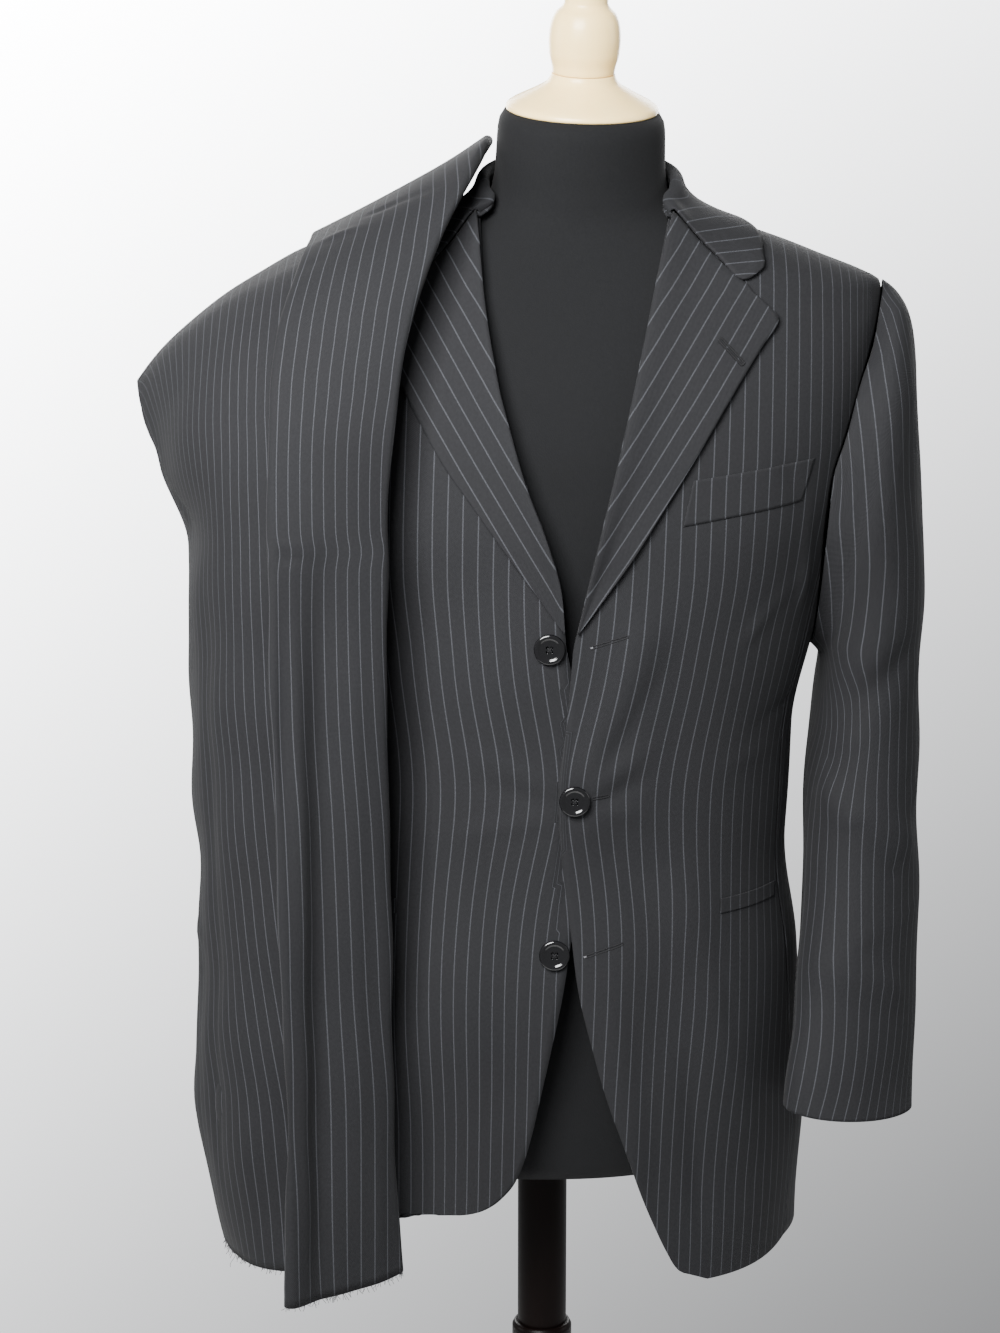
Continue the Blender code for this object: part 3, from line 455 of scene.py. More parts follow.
def front_edge_angle(z, edge, roll):
    x = np.where(z < BREAK_Z, column(edge, "x", z), column(roll, "x", z))
    return angle_at(x, z)


def front_outer_angle(z):
    """Side seam, then armhole, then shoulder seam."""
    hole = column(ARMHOLE, "front", z)
    return np.where(z < ARMHOLE["z"][4], SIDE_FRONT, np.where(z > ARMHOLE_TOP, 90.0, hole))


def overlap_out(x, z):
    """The left front lies over the right one from the break down."""
    near = 1 - ease((np.abs(x - 0.01) - 0.030) / 0.045)
    return (LAP + OVERLAP_CLEAR) * near * (1 - ease((z - 1.170) / 0.050))


def front_out(x, z, left):
    if left:
        return overlap_out(x, z)
    tucked = 0.020 * (1 - ease((z - 0.700) / 0.230)) * (1 - ease((np.abs(x + 0.055) - 0.030) / 0.070))
    return -tucked


def armhole_loop(count):
    """The armhole's edge from the shoulder down the front and up the back."""
    heights = np.linspace(ARMHOLE_TOP, ARMHOLE_LOW, 200)
    down = np.stack([column(ARMHOLE, "front", heights), heights], axis=-1)
    up = np.stack([column(ARMHOLE, "back", heights[::-1]), heights[::-1]], axis=-1)
    loop = np.concatenate([down, up[1:]])
    points = body_point(loop[:, 0], loop[:, 1], LAP + SLEEVE_CLEAR)
    run = run_along(points)
    at = np.arange(count) / count * run[-1]
    return np.stack([np.interp(at, run, points[:, k]) for k in range(3)], axis=-1)


def collar_half(start_x, count):
    """Lines from the stand's foot over the fold to the fall's edge, from the gorge to the back's middle."""
    share = np.array([0.0, 0.27, 0.54, 0.82, 1.0])
    keys = ("fold_angle", "fold_z", "foot_angle", "foot_z", "inside", "edge_angle", "edge_z")
    fold_angle, fold_z, foot_angle, foot_z, inside, edge_angle, edge_z = (np.array(COLLAR[k]) for k in keys)
    angle = fold_angle[:, None] + (edge_angle - fold_angle)[:, None] * share
    z = fold_z[:, None] - COLLAR_FOLD / 2 + (edge_z - fold_z + COLLAR_FOLD / 2)[:, None] * share
    gorge_x = np.append(np.interp(share[:-1], (0, share[-2]), (start_x, GORGE_END[0])), COLLAR_TIP[0])
    z[0] = np.append(np.interp(share[:-1], (0, share[-2]), (GORGE_START_Z, GORGE_END[1])), COLLAR_TIP[1])
    angle[0] = angle_at(gorge_x, z[0])
    shift = (angle[0, 0] - fold_angle[0]) * np.exp(-np.arange(len(fold_z)) / 1.5)
    fold_angle, foot_angle = fold_angle + shift, foot_angle + shift
    angle[1:] += shift[1:, None] * (1 - share)
    fall_out = WALL + COLLAR_CLEAR + COLLAR_WALL
    out = fall_out + (inside[:, None] + COLLAR_FOLD - fall_out) * np.exp(-((share / 0.3) ** 2))
    along = np.linspace(0, len(fold_z) - 1, count)
    lines = [
        (foot_angle, foot_z, inside),
        ((foot_angle + fold_angle) / 2, (foot_z + fold_z - COLLAR_FOLD / 2) / 2, inside),
        (fold_angle, fold_z - COLLAR_FOLD * 0.45, inside),
        (fold_angle, fold_z, inside + COLLAR_FOLD * 0.45),
        *zip(angle.T, z.T, out.T),
    ]
    stations = range(len(fold_z))
    return np.stack([body_point(*(smooth(along, stations, v) for v in line)) for line in lines], axis=1)


def flat_rings(sections, rows, faces):
    """Rings of a flat tube: its curve across, moved both ways by half its thickness, with round edges."""
    count = len(sections["thick"])
    along = np.linspace(0, count - 1, rows)
    row = {k: smooth(along, range(count), v) for k, v in sections.items()}
    u = evenly(61)[None, :, None]
    shares = {"neck": (1 - u) * (1 - 2 * u), "mid": 4 * u * (1 - u), "out": u * (2 * u - 1)}
    spine = sum(
        np.stack([row[end + axis] for axis in ("_x", "_y", "_z")], axis=-1)[:, None] * part
        for end, part in shares.items()
    )
    normal = unit(np.cross(np.gradient(spine, axis=0), np.gradient(spine, axis=1)))
    spine = spine + normal * fold_height(spine)[..., None]
    runs = run_along(spine)
    rings = np.empty((rows, 2 * faces - 2, 3))
    corner = np.linspace(0, math.pi / 2, 7)
    flat = evenly(faces - 12)[1:-1]
    # A stadium: flat faces and half-round edges.
    for r, run in enumerate(runs):
        half = row["thick"][r] / 2
        span = run[-1] - 2 * half
        ends = half - half * np.cos(corner), half + span + half * np.sin(corner)
        at = np.concatenate([ends[0], half + span * flat, ends[1]])
        lift = np.concatenate([half * np.sin(corner), np.full(len(flat), half), half * np.cos(corner)])
        place = np.stack([np.interp(at, run, spine[r, :, k]) for k in range(3)], axis=-1)
        facing = np.stack([np.interp(at, run, normal[r, :, k]) for k in range(3)], axis=-1)
        top = place + facing * lift[:, None]
        under = place - facing * lift[:, None]
        rings[r] = np.concatenate([top, under[::-1][1:-1]])
    return rings


# ---------------------------------------------------------------- creases

# Creases on each group of pieces: a bent line (sag is how far its middle lies above the straight one), its
# half width and its height, negative for a trough.
CREASE_COLUMNS = "x y z to_x to_y to_z sag width height"
CREASES = {
    "jacket": table(CREASE_COLUMNS, """
18 -150 1052 110 -145 1100 10 7 3.5
22 -150 1046 130 -140 1072 8 6 -3.2
24 -150 1040 105 -140 1022 4 6 2.6
30 -150 1075 75 -150 1150 0 8 -2.9
105 -140 1060 178 -70 1075 4 6 3.2
110 -140 1046 172 -80 1050 3 5 -3.2
130 -130 1082 182 -50 1110 3 6 -2.6
0 -150 1050 -100 -145 1085 8 7 3.5
-4 -150 1044 -105 -140 1058 6 6 -2.9
-2 -150 1034 -90 -140 1015 3 7 2.6
-75 -140 800 -12 -150 812 4 4 2.6
-80 -140 792 -40 -150 803 2 3 -2.2
-100 -130 780 -60 -145 790 2 3.5 1.9
120 -130 950 135 -120 860 0 8 -1.9
40 -150 900 70 -150 740 0 12 2.6
100 -140 860 120 -130 700 0 10 -2.2
150 -110 1300 180 -70 1220 0 8 -2.2
168 -90 1270 176 -80 1180 0 7 2.9
170 -80 1210 130 -120 1160 4 6 1.9
60 120 1060 -60 120 1055 6 8 2.2
90 110 1040 -80 115 1030 -4 7 -2
110 105 1085 20 120 1075 4 6 1.4
-110 105 1080 -30 120 1070 4 6 1.4
150 90 1360 120 115 1230 0 9 2
-150 90 1360 -115 115 1240 0 9 2
80 125 980 110 125 720 0 12 -2
-70 125 980 -80 125 700 0 12 -2
""", MM),
    "sleeve_left": table(CREASE_COLUMNS, """
262 -55 1330 250 -65 1250 0 11 -1.4
232 -75 1220 268 -50 1120 -4 10 1.8
275 -30 1130 215 -70 1065 2 6 2
200 -50 1062 270 -50 1040 -4 5 -2.2
285 -30 1030 210 -80 1010 3 6 2
205 -60 990 275 -70 965 3 5 -1.8
285 -40 940 220 -100 918 3 6 1.6
200 -90 905 270 -90 870 3 6 -1.4
240 -110 1000 238 -125 790 0 12 1.6
270 60 1240 200 60 1160 4 7 2
280 50 1060 200 30 1020 4 6 -2
280 30 990 200 10 970 4 6 2
""", MM),
    "sleeve_right": table(CREASE_COLUMNS, """
-270 50 1200 -200 60 1130 4 8 2
-270 60 1060 -200 70 1020 4 7 -2
-260 70 960 -200 70 930 4 7 1.8
-265 -40 1050 -200 -50 1000 4 7 1.8
-235 90 1000 -232 60 790 0 12 -1.8
""", MM),
    "leg_near": table(CREASE_COLUMNS, """
-214 -192 1250 -134 -160 1246 -6 3 2.4
-216 -192 1243 -134 -160 1240 -6 2.8 -2.4
-205 -195 1235 -197 -200 680 0 8 -3.6
-196 -190 1180 -180 -195 690 0 7 2.6
-178 -185 1240 -165 -185 690 0 9 -2.2
-155 -178 1240 -142 -172 690 0 8 2.2
-142 -172 1000 -120 -160 690 0 7 -1.6
-190 -205 770 -112 -155 779 0 1.6 -1.1
-190 -205 773.5 -112 -155 782.5 0 1.6 0.9
-160 -50 1470 -100 -60 1486 0 4.5 -1.8
-190 -60 1450 -120 -80 1462 3 4.5 2
-200 -85 1430 -150 -95 1440 3 5 -1.6
-170 -140 1395 -130 -130 1410 0 10 1.4
""", MM),
    "leg_far": table(CREASE_COLUMNS, """
-290 -50 1250 -214 -140 1238 -6 4 3.6
-290 -50 1238 -214 -140 1230 -6 3.5 -3.3
-325 -15 1325 -290 -50 1250 4 9 2
-320 -15 1300 -275 -80 1235 -4 7 -2.2
-250 -110 1340 -235 -130 1120 0 13 1.8
-262 -105 1230 -256 -108 700 0 11 -3
-238 -128 1220 -228 -128 700 0 10 2.4
-280 -60 990 -262 -60 700 0 10 2.2
-262 -70 788 -200 -130 793 0 1.8 -1.2
-290 -40 930 -240 -110 905 3 6 1.6
""", MM),
    "seat": table(CREASE_COLUMNS, """
-120 150 1420 -130 160 1190 0 12 3
-180 150 1400 -170 150 1190 0 12 -3
-240 130 1350 -225 130 1190 0 12 3
-280 90 1310 -250 110 1240 0 8 -2
-100 140 1360 -180 150 1330 4 6 1.6
""", MM),
    "lapel": table(CREASE_COLUMNS, """
40 -150 1260 60 -130 1400 0 14 0.8
""", MM),
}
# Low uneven swells on each group: how long and how high they are.
SWELL = {
    "jacket": (0.09, 0.0011),
    "sleeve_left": (0.07, 0.0012),
    "sleeve_right": (0.07, 0.0012),
    "leg_near": (0.08, 0.0011),
    "leg_far": (0.08, 0.0013),
    "seat": (0.08, 0.0012),
    "lapel": (0.09, 0.0003),
}

# Stripes: the distance between them at each height. They close up where the cloth is darted or eased.
PITCH = table("z jacket sleeve", """
660 9.3 9.1
780 9.3 9.2
900 9.6 9.7
1050 9.9 10.1
1150 10.7 11
1220 11.3 11.2
1520 11.3 11.3
""", MM)
# The same for the legs, ring by ring from the hem, and the sideways place of one of the far leg's stripes.
LEG_STRIPES = table("near_pitch far_pitch far_line", """
11 9.6 -161.7
11 9.5 -172.3
10.1 9 -195.5
9.4 8.4 -210.6
8.7 8.3 -219.5
8.3 8.2 -224.9
8.4 7.6 -228.4
9 7.4 -231.3
9.3 7.5 -231.8
9.7 7.6 -231.5
9.7 7.8 -231
9.7 7.8 -231
9.7 7.8 -231
9.7 7.8 -231
""", MM)
NEAR_FIRST = 0.0105  # from the near leg's outer fold to its first stripe
STRIPE_PITCH = 0.0113
# The fastened button draws the stripes in: by how much, at what height, and over what height and width.
PULL, PULL_Z, PULL_TALL, PULL_WIDE = 0.016, 1.055, 0.075, 0.110
REFERENCE_Z = 1.30  # above this the stripes run straight up over the shoulder
# Where a stripe falls on each piece, as a share of the distance between two.
PHASE = {"front": 0.0, "side": 0.4, "back": 0.5, "breast": 0.12, "hip": 0.1, "lapel": 0.35, "sleeve": 0.5}
# Fineness: rows up a piece and points across it.
FRONT_GRID, SIDE_GRID, BACK_GRID, LAPEL_SIZE = (120, 64), (90, 40), (130, 56), (90, 34)
CURVE_ROWS, SHOULDER_ROWS, SLEEVE_ROWS, STRIP_GRID = 30, 34, 130, (16, 60)


CREASE_STEPS = 8  # straight parts of a crease's line
SWELL_WAVES = 7


def crease_height(points, group):
    """How far the creases and swells of a group move each point out."""
    moved = np.zeros(points.shape[:-1])
    for *ends, sag, width, height in zip(*CREASES.get(group, {}).values()):
        t = evenly(CREASE_STEPS + 1)[:, None]
        line = np.array(ends[:3]) * (1 - t) + np.array(ends[3:]) * t
        line[:, 2] += sag * 4 * t[:, 0] * (1 - t[:, 0])
        nearest, share = np.full(moved.shape, np.inf), np.zeros(moved.shape)
        for i in range(CREASE_STEPS):
            run = line[i + 1] - line[i]
            along = np.clip((points - line[i]) @ run / (run @ run), 0, 1)
            away = size_of(points - line[i] - along[..., None] * run)
            closer = away < nearest
            nearest[closer], share[closer] = away[closer], ((i + along) / CREASE_STEPS)[closer]
        uneven = 1 + 0.25 * np.sin(9 * share + 40 * height)
        fade = np.sin(np.pi * np.clip(share, 0.02, 0.98)) ** 0.6
        moved += height * uneven * fade * np.exp(-((nearest / width) ** 2))
    length, height = SWELL[group]
    random = np.random.default_rng(len(group) * 7 + 1)
    for _ in range(SWELL_WAVES):
        way = random.normal(size=3)
        way *= 2 * math.pi / (length * random.uniform(0.8, 1.8) * size_of(way))
        moved += height / 2.6 * np.sin(points @ way + random.uniform(0, 6.28))
    return moved


def normals(points, closed):
    wide = np.concatenate([points[:, -1:], points, points[:, :1]], axis=1) if closed else points
    normal = np.cross(np.gradient(wide, axis=1), np.gradient(wide, axis=0))
    normal = normal[:, 1:-1] if closed else normal
    return normal / np.maximum(np.linalg.norm(normal, axis=-1, keepdims=True), 1e-9)


def creased(points, group, closed=False, folds=True):
    height = crease_height(points, group) + (fold_height(points) if folds else 0)
    return points + normals(points, closed) * height[..., None]


# ---------------------------------------------------------------- shells

suit = bpy.data.collections.new("suit_looks")
bpy.context.scene.collection.children.link(suit)


def add(name, data, look):
    data.materials.append(look)
    made = bpy.data.objects.new(name, data)
    suit.objects.link(made)
    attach(made, "root")
    return made


def new_object(name, points, faces, look, smooth_angle=None):
    mesh = bpy.data.meshes.new(name)
    mesh.from_pydata([tuple(p) for p in points], [], faces)
    mesh.shade_smooth()
    if smooth_angle:
        mesh.set_sharp_from_angle(angle=math.radians(smooth_angle))
    return add(name, mesh, look)


def grid_faces(rows, columns, closed, stored=None):
    """Four-cornered faces of a grid. stored is the number of values kept for each row, if not its columns."""
    stored = stored or columns
    return [
        tuple((r + up) * stored + (c + on) % stored for up, on in ((0, 0), (0, 1), (1, 1), (1, 0)))
        for r in range(rows - 1)
        for c in range(columns if closed else columns - 1)
    ]


def sheet(node, grid, stripes, along, wall, closed=False, inward=False):
    """A cloth piece on a fine grid. stripes and along are its own coordinates across and down the cloth."""
    rows, columns = grid.shape[:2]
    faces = grid_faces(rows, columns, closed)
    made = new_object("cloth_" + node, lean(grid).reshape(-1, 3), faces, cloth_look)
    layer = made.data.uv_layers.new(name="cloth")
    corners = np.array(grid_faces(rows, columns, closed, stripes.shape[1])).reshape(-1)
    places = np.stack([stripes.reshape(-1)[corners], along.reshape(-1)[corners]], axis=-1)
    layer.data.foreach_set("uv", places.reshape(-1).astype(np.float32))
    solid = made.modifiers.new("wall", "SOLIDIFY")
    solid.thickness = wall
    solid.offset = -1.0 if inward else 1.0
    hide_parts(node)


# ---------------------------------------------------------------- stripes' coordinates

RING_Z = np.linspace(0.66, REFERENCE_Z, 60)
RING_ANGLE = np.linspace(0, 180, 361)
RING_RUN = run_along(ring_point(BODY, RING_ANGLE[None, :], RING_Z[:, None]))


def body_run(angle, z):
    """Distance round the body from the front's middle, read at the reference height for points above it,
    and half the distance round."""
    x = ring_point(BODY, angle, z)[..., 0]
    low = np.minimum(z, REFERENCE_Z)
    size = np.abs(angle)
    straight_up = angle_at(np.abs(x), np.full_like(z, REFERENCE_Z))
    straight_up = np.where(size > 90, 180 - straight_up, straight_up)
    size = np.where(z > REFERENCE_Z, straight_up, size)
    row = np.clip((low - RING_Z[0]) / (RING_Z[1] - RING_Z[0]), 0, len(RING_Z) - 1.001)
    step = np.clip(size / RING_ANGLE[1], 0, len(RING_ANGLE) - 1.001)
    r, c = row.astype(int), step.astype(int)
    fr, fc = row - r, step - c
    low_run = RING_RUN[r, c] * (1 - fc) + RING_RUN[r, c + 1] * fc
    high_run = RING_RUN[r + 1, c] * (1 - fc) + RING_RUN[r + 1, c + 1] * fc
    half_round = RING_RUN[r, -1] * (1 - fr) + RING_RUN[r + 1, -1] * fr
    return (low_run * (1 - fr) + high_run * fr) * np.sign(angle), half_round


def jacket_stripes(node, angle, z):
    """The stripes' count round the jacket, from the front's middle or from the back's."""
    piece = node.split("_")[0]
    run, half_round = body_run(angle, z)
    if piece == "back":
        run = np.sign(angle) * (half_round - np.abs(run))
    else:
        pull = PULL * np.exp(-(((z - PULL_Z) / PULL_TALL) ** 2)) * np.exp(-((run / PULL_WIDE) ** 2))
        run = run + np.sign(run) * pull
    return run / column(PITCH, "jacket", z) + PHASE[piece]


# ---------------------------------------------------------------- looks


def new_look(name, colour, roughness, **more):
    """A look's tree and shader. more holds other settings, with _ for each space."""
    made = bpy.data.materials.new(name)
    made.use_nodes = True
    shader = made.node_tree.nodes["Principled BSDF"]
    shader.inputs["Base Color"].default_value = (*colour, 1)
    shader.inputs["Roughness"].default_value = roughness
    for key, value in more.items():
        shader.inputs[key.replace("_", " ")].default_value = value
    return made, made.node_tree, shader


def feed(tree, socket, value):
    """Sets a socket to a number or a colour, or links another node's output to it."""
    if isinstance(value, bpy.types.NodeSocket):
        tree.links.new(value, socket)
    else:
        socket.default_value = (*value, 1) if isinstance(value, tuple) else value


def new_node(tree, kind, inputs, **settings):
    """A new node's outputs. inputs holds its values by the socket's name or number."""
    made = tree.nodes.new("ShaderNode" + kind)
    for key, value in settings.items():
        setattr(made, key, value)
    for key, value in inputs.items():
        feed(tree, made.inputs[key], value)
    return made.outputs


def math_node(tree, operation, *values):
    return new_node(tree, "Math", dict(enumerate(values)), operation=operation)[0]


def noise(tree, where, scale, detail):
    return new_node(tree, "TexNoise", {"Vector": where, "Scale": scale, "Detail": detail})["Fac"]


def mix(tree, share, first, second):
    return new_node(tree, "Mix", {0: share, 6: first, 7: second}, data_type="RGBA")[2]


def bump(tree, shader, height, distance, strength):
    inputs = {"Height": height, "Distance": distance, "Strength": strength}
    feed(tree, shader.inputs["Normal"], new_node(tree, "Bump", inputs)["Normal"])


def suiting_look():
    """Dark worsted: fine twill, a little heather in the colour, and a thin pale line at each whole stripe."""
    more = {"Specular_IOR_Level": 0.08, "Sheen_Weight": 0.02, "Sheen_Roughness": 0.4}
    made, tree, shader = new_look("suiting_cloth", (0.020, 0.021, 0.023), 0.8, **more)
    uv = new_node(tree, "UVMap", {}, uv_map="cloth")["UV"]
    stripes, along, _ = new_node(tree, "SeparateXYZ", {0: uv})
    across = math_node(tree, "MULTIPLY", stripes, STRIPE_PITCH)
    spot = new_node(tree, "CombineXYZ", {"X": across, "Y": along})[0]
    off_line = math_node(tree, "PINGPONG", stripes, 0.5)
    edges = {"From Min": 0.058, "From Max": 0.026, "Value": off_line}
    line = new_node(tree, "MapRange", edges, interpolation_type="SMOOTHSTEP")["Result"]
    flecks = noise(tree, spot, 900.0, 1.0)
    broken = math_node(tree, "MULTIPLY_ADD", flecks, 0.9, 0.30)
    pale = math_node(tree, "MULTIPLY", line, broken)
    pale = math_node(tree, "MINIMUM", pale, 1.0)
    heather = noise(tree, spot, 420.0, 3.0)
    wide = noise(tree, spot, 9.0, 2.0)
    ground = mix(tree, heather, (0.0104, 0.0107, 0.0117), (0.0171, 0.0176, 0.0191))
    ground = mix(tree, math_node(tree, "MULTIPLY", wide, 0.25), ground, (0.0142, 0.0129, 0.0138))
    feed(tree, shader.inputs["Base Color"], mix(tree, pale, ground, (0.0455, 0.0475, 0.0530)))
    slant = math_node(tree, "MULTIPLY_ADD", along, 0.85, across)
    twill = math_node(tree, "SINE", math_node(tree, "MULTIPLY", slant, 5200.0))
    weave = math_node(tree, "MULTIPLY_ADD", heather, 1.6, twill)
    bump(tree, shader, weave, 0.00008, 0.6)
    return made


def object_place(tree, upward=1.0):
    """The place on the object, drawn out along its height by a scale under 1."""
    place = new_node(tree, "TexCoord", {})["Object"]
    return new_node(tree, "Mapping", {"Vector": place, "Scale": Vector((1.0, 1.0, upward))})["Vector"]


def jersey_look():
    more = {"Specular_IOR_Level": 0.1, "Sheen_Weight": 0.02}
    made, tree, shader = new_look("form_jersey", (0.028, 0.029, 0.031), 0.9, **more)
    knit = noise(tree, object_place(tree, 0.5), 1400.0, 1.0)
    yarn = noise(tree, object_place(tree), 600.0, 2.0)
    tone = mix(tree, yarn, (0.0050, 0.0052, 0.0056), (0.0086, 0.0088, 0.0095))
    feed(tree, shader.inputs["Base Color"], tone)
    bump(tree, shader, knit, 0.0002, 0.6)
    return made


def wood_look(name, light, dark, rough, grain, shine):
    """Turned wood: long grain drawn out along the axis."""
    made, tree, shader = new_look(name, light, rough, Specular_IOR_Level=shine)
    figure = noise(tree, object_place(tree, 0.12), grain, 4.0)
    fine = noise(tree, object_place(tree, 0.05), grain * 8, 2.0)
    both = math_node(tree, "MULTIPLY_ADD", fine, 0.35, math_node(tree, "MULTIPLY", figure, 0.75))
    feed(tree, shader.inputs["Base Color"], mix(tree, both, light, dark))
    bump(tree, shader, fine, 0.0001, 0.4)
    return made


def plain_look(name, colour, roughness, specular):
    made, tree, shader = new_look(name, colour, roughness, Specular_IOR_Level=specular)
    fleck = noise(tree, object_place(tree), 700.0, 1.0)
    darker = tuple(c * 0.8 for c in colour)
    feed(tree, shader.inputs["Base Color"], mix(tree, fleck, darker, colour))
    return made


cloth_look = suiting_look()
jersey = jersey_look()
pale_wood = wood_look("cap_wood", (0.98, 0.76, 0.36), (0.94, 0.66, 0.26), 0.30, 40.0, 0.5)
dark_wood = wood_look("stand_wood", (0.0046, 0.0024, 0.0021), (0.0026, 0.0018, 0.0016), 0.35, 50.0, 0.06)
button_look = plain_look("button_gloss", (0.0035, 0.0035, 0.004), 0.10, 0.45)
thread_look = plain_look("dark_thread", (0.010, 0.010, 0.011), 0.7, 0.2)
pale_thread = plain_look("pale_thread", (0.13, 0.13, 0.14), 0.7, 0.2)


# ---------------------------------------------------------------- form and stand


def dense(profile):
    """The profile drawn through its points with soft bends, in steps of about 1.2 mm."""
    r, z = np.array(profile).T
    run = np.concatenate([[0], np.cumsum(np.hypot(np.diff(r), np.diff(z)))])
    count = min(max(int(run[-1] / 0.0012), 24), 220)
    at = np.sort(np.concatenate([np.linspace(0, run[-1], count), run]))
    at = at[np.concatenate([[True], np.diff(at) > 1e-5])]
    return np.stack([smooth(at, run, r), smooth(at, run, z)], axis=-1)


TURNED_SHARP, FORM_SHARP = 50, 60  # degrees over which an edge stays sharp


def lathe(name, node, profile, look, segments=96):
    """A turned piece about its own axis."""
    outline = dense(profile)[1:-1]
    turn = np.arange(segments) / segments * 2 * math.pi
    radius, height = outline[:, None, 0], outline[:, None, 1]
    rings = np.stack([radius * np.cos(turn), radius * np.sin(turn), height + 0 * turn], axis=-1)
    rows = len(outline)
    points = np.concatenate([rings.reshape(-1, 3), [(0, 0, profile[0][1]), (0, 0, profile[-1][1])]])
    faces = [f[::-1] for f in grid_faces(rows, segments, True)]
    top, bottom = rows * segments, rows * segments + 1
    for c in range(segments):
        d = (c + 1) % segments
        faces.append((top, c, d))
        faces.append((bottom, (rows - 1) * segments + d, (rows - 1) * segments + c))
    made = new_object(name, points, faces, look, TURNED_SHARP)
    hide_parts(node)
    return made


def build_form():
    foot = (0.735, 0.7355, 0.737, 0.740, 0.745)  # closer rows round the lower edge
    heights = np.unique(np.concatenate([foot, np.linspace(0.75, FORM_TOP, 130)]))
    angles = np.arange(0, 360, 3.0)
    rings = ring_point(FORM, angles[None, :], heights[:, None])
    tilt = ease((heights - 1.490) / (CAP_Z - 1.490))[:, None]
    rings[..., 2] += (rings[..., 1] * math.tan(math.radians(CAP_TILT)) - rings[..., 0] * LEAN) * tilt
    rows, columns = rings.shape[:2]
    faces = grid_faces(rows, columns, True)
    faces.append(tuple(reversed(range(columns))))
    faces.append(tuple((rows - 1) * columns + c for c in range(columns)))
    made = new_object("form_jersey", lean(rings).reshape(-1, 3), faces, jersey, FORM_SHARP)
    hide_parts("dress_form")


def build_stand():
    lathe("base", "stand_base", BASE_PROFILE, dark_wood, 128)
    lathe("column", "stand_column", COLUMN_PROFILE, dark_wood)
    pole = ((0.0, POLE_TOP), (POLE_RADIUS, POLE_TOP), (POLE_RADIUS, POLE_LOW), (0.0, POLE_LOW))
    lathe("pole", "stand_pole", pole, dark_wood)
    for name, profile in (("cap", CAP_PROFILE), ("finial", FINIAL_PROFILE)):
        made = lathe(name, "neck_" + name, profile, pale_wood)
        made.location = (LEAN * (CAP_Z - LEAN_FROM), 0.0, CAP_Z)
        made.rotation_euler = (math.radians(CAP_TILT), math.atan(LEAN), 0.0)


# ---------------------------------------------------------------- jacket

CURVE_TOP, SHOULDER_LOW = 0.785, 1.385  # rows lie closer below the first and above the second
FINE_SHOULDER = np.linspace(1.388, NECK_Z, SHOULDER_ROWS)
CLOSE_SEAM = 0.07  # sewn edges all but touch, as an angle


def side_of(name, left):
    return name + ("_left" if left else "_right")


def build_front(left):
    edge, roll, low = (LEFT_EDGE, ROLL_LEFT, HEM_LEFT_Z) if left else (RIGHT_EDGE, ROLL_RIGHT, HEM_RIGHT_Z)
    curved = low + (CURVE_TOP - low) * evenly(CURVE_ROWS)[:-1] ** 1.7
    heights = np.concatenate([curved, np.linspace(CURVE_TOP, SHOULDER_LOW, FRONT_GRID[0]), FINE_SHOULDER])
    share = evenly(FRONT_GRID[1])
    start = front_edge_angle(heights, edge, roll)
    outer = front_outer_angle(heights) * (1 if left else -1)
    first, last = (start, outer) if left else (outer, start)
    angles = first[:, None] + (last - first)[:, None] * share
    to_side = share if left else share[::-1]
    z = heights[:, None] + (HEM_Z - low) * to_side**2 * (1 - ease((heights - low) / 0.15))[:, None]
    x = ring_point(BODY, angles, z)[..., 0]
    grid = creased(body_point(angles, z, front_out(x, z, left)), "jacket")
    node = side_of("front", left)
    sheet(node, grid, jacket_stripes(node, angles, z), z, WALL)


def build_side(left):
    first, last = SIDE_FRONT + CLOSE_SEAM, SIDE_BACK - CLOSE_SEAM
    angles = first + (last - first) * evenly(SIDE_GRID[1])
    low = ARMHOLE["z"][:5]
    top = np.where(
        angles < 90,
        np.interp(-angles, [-a for a in ARMHOLE["front"][:5]], low),
        np.interp(angles, ARMHOLE["back"][:5], low),
    )
    z = HEM_Z + (top - HEM_Z)[None, :] * evenly(SIDE_GRID[0])[:, None]
    angles = np.broadcast_to(angles if left else -angles[::-1], z.shape)
    z = z if left else z[:, ::-1]
    grid = creased(body_point(angles, z), "jacket")
    node = side_of("side", left)
    sheet(node, grid, jacket_stripes(node, angles, z), z, WALL)


def build_back(left):
    heights = np.concatenate([np.linspace(HEM_Z, SHOULDER_LOW, BACK_GRID[0]), FINE_SHOULDER])
    hole = column(ARMHOLE, "back", heights)
    outer = np.where(heights < ARMHOLE["z"][4], SIDE_BACK, np.maximum(hole, 90.0 + SEAM_ANGLE))
    centre = 180 - CLOSE_SEAM / 2
    first = outer[:, None] if left else -centre
    angles = first + (centre - outer)[:, None] * evenly(BACK_GRID[1])
    z = np.broadcast_to(heights[:, None], angles.shape)
    grid = creased(body_point(angles, z), "jacket")
    node = side_of("back", left)
    sheet(node, grid, jacket_stripes(node, angles, z), z, WALL)


LAPEL_LIFT = LAP + 0.0007
LAPEL_GRAIN = (0.537, 0.843)  # the stripes lie along the lapel's outer edge


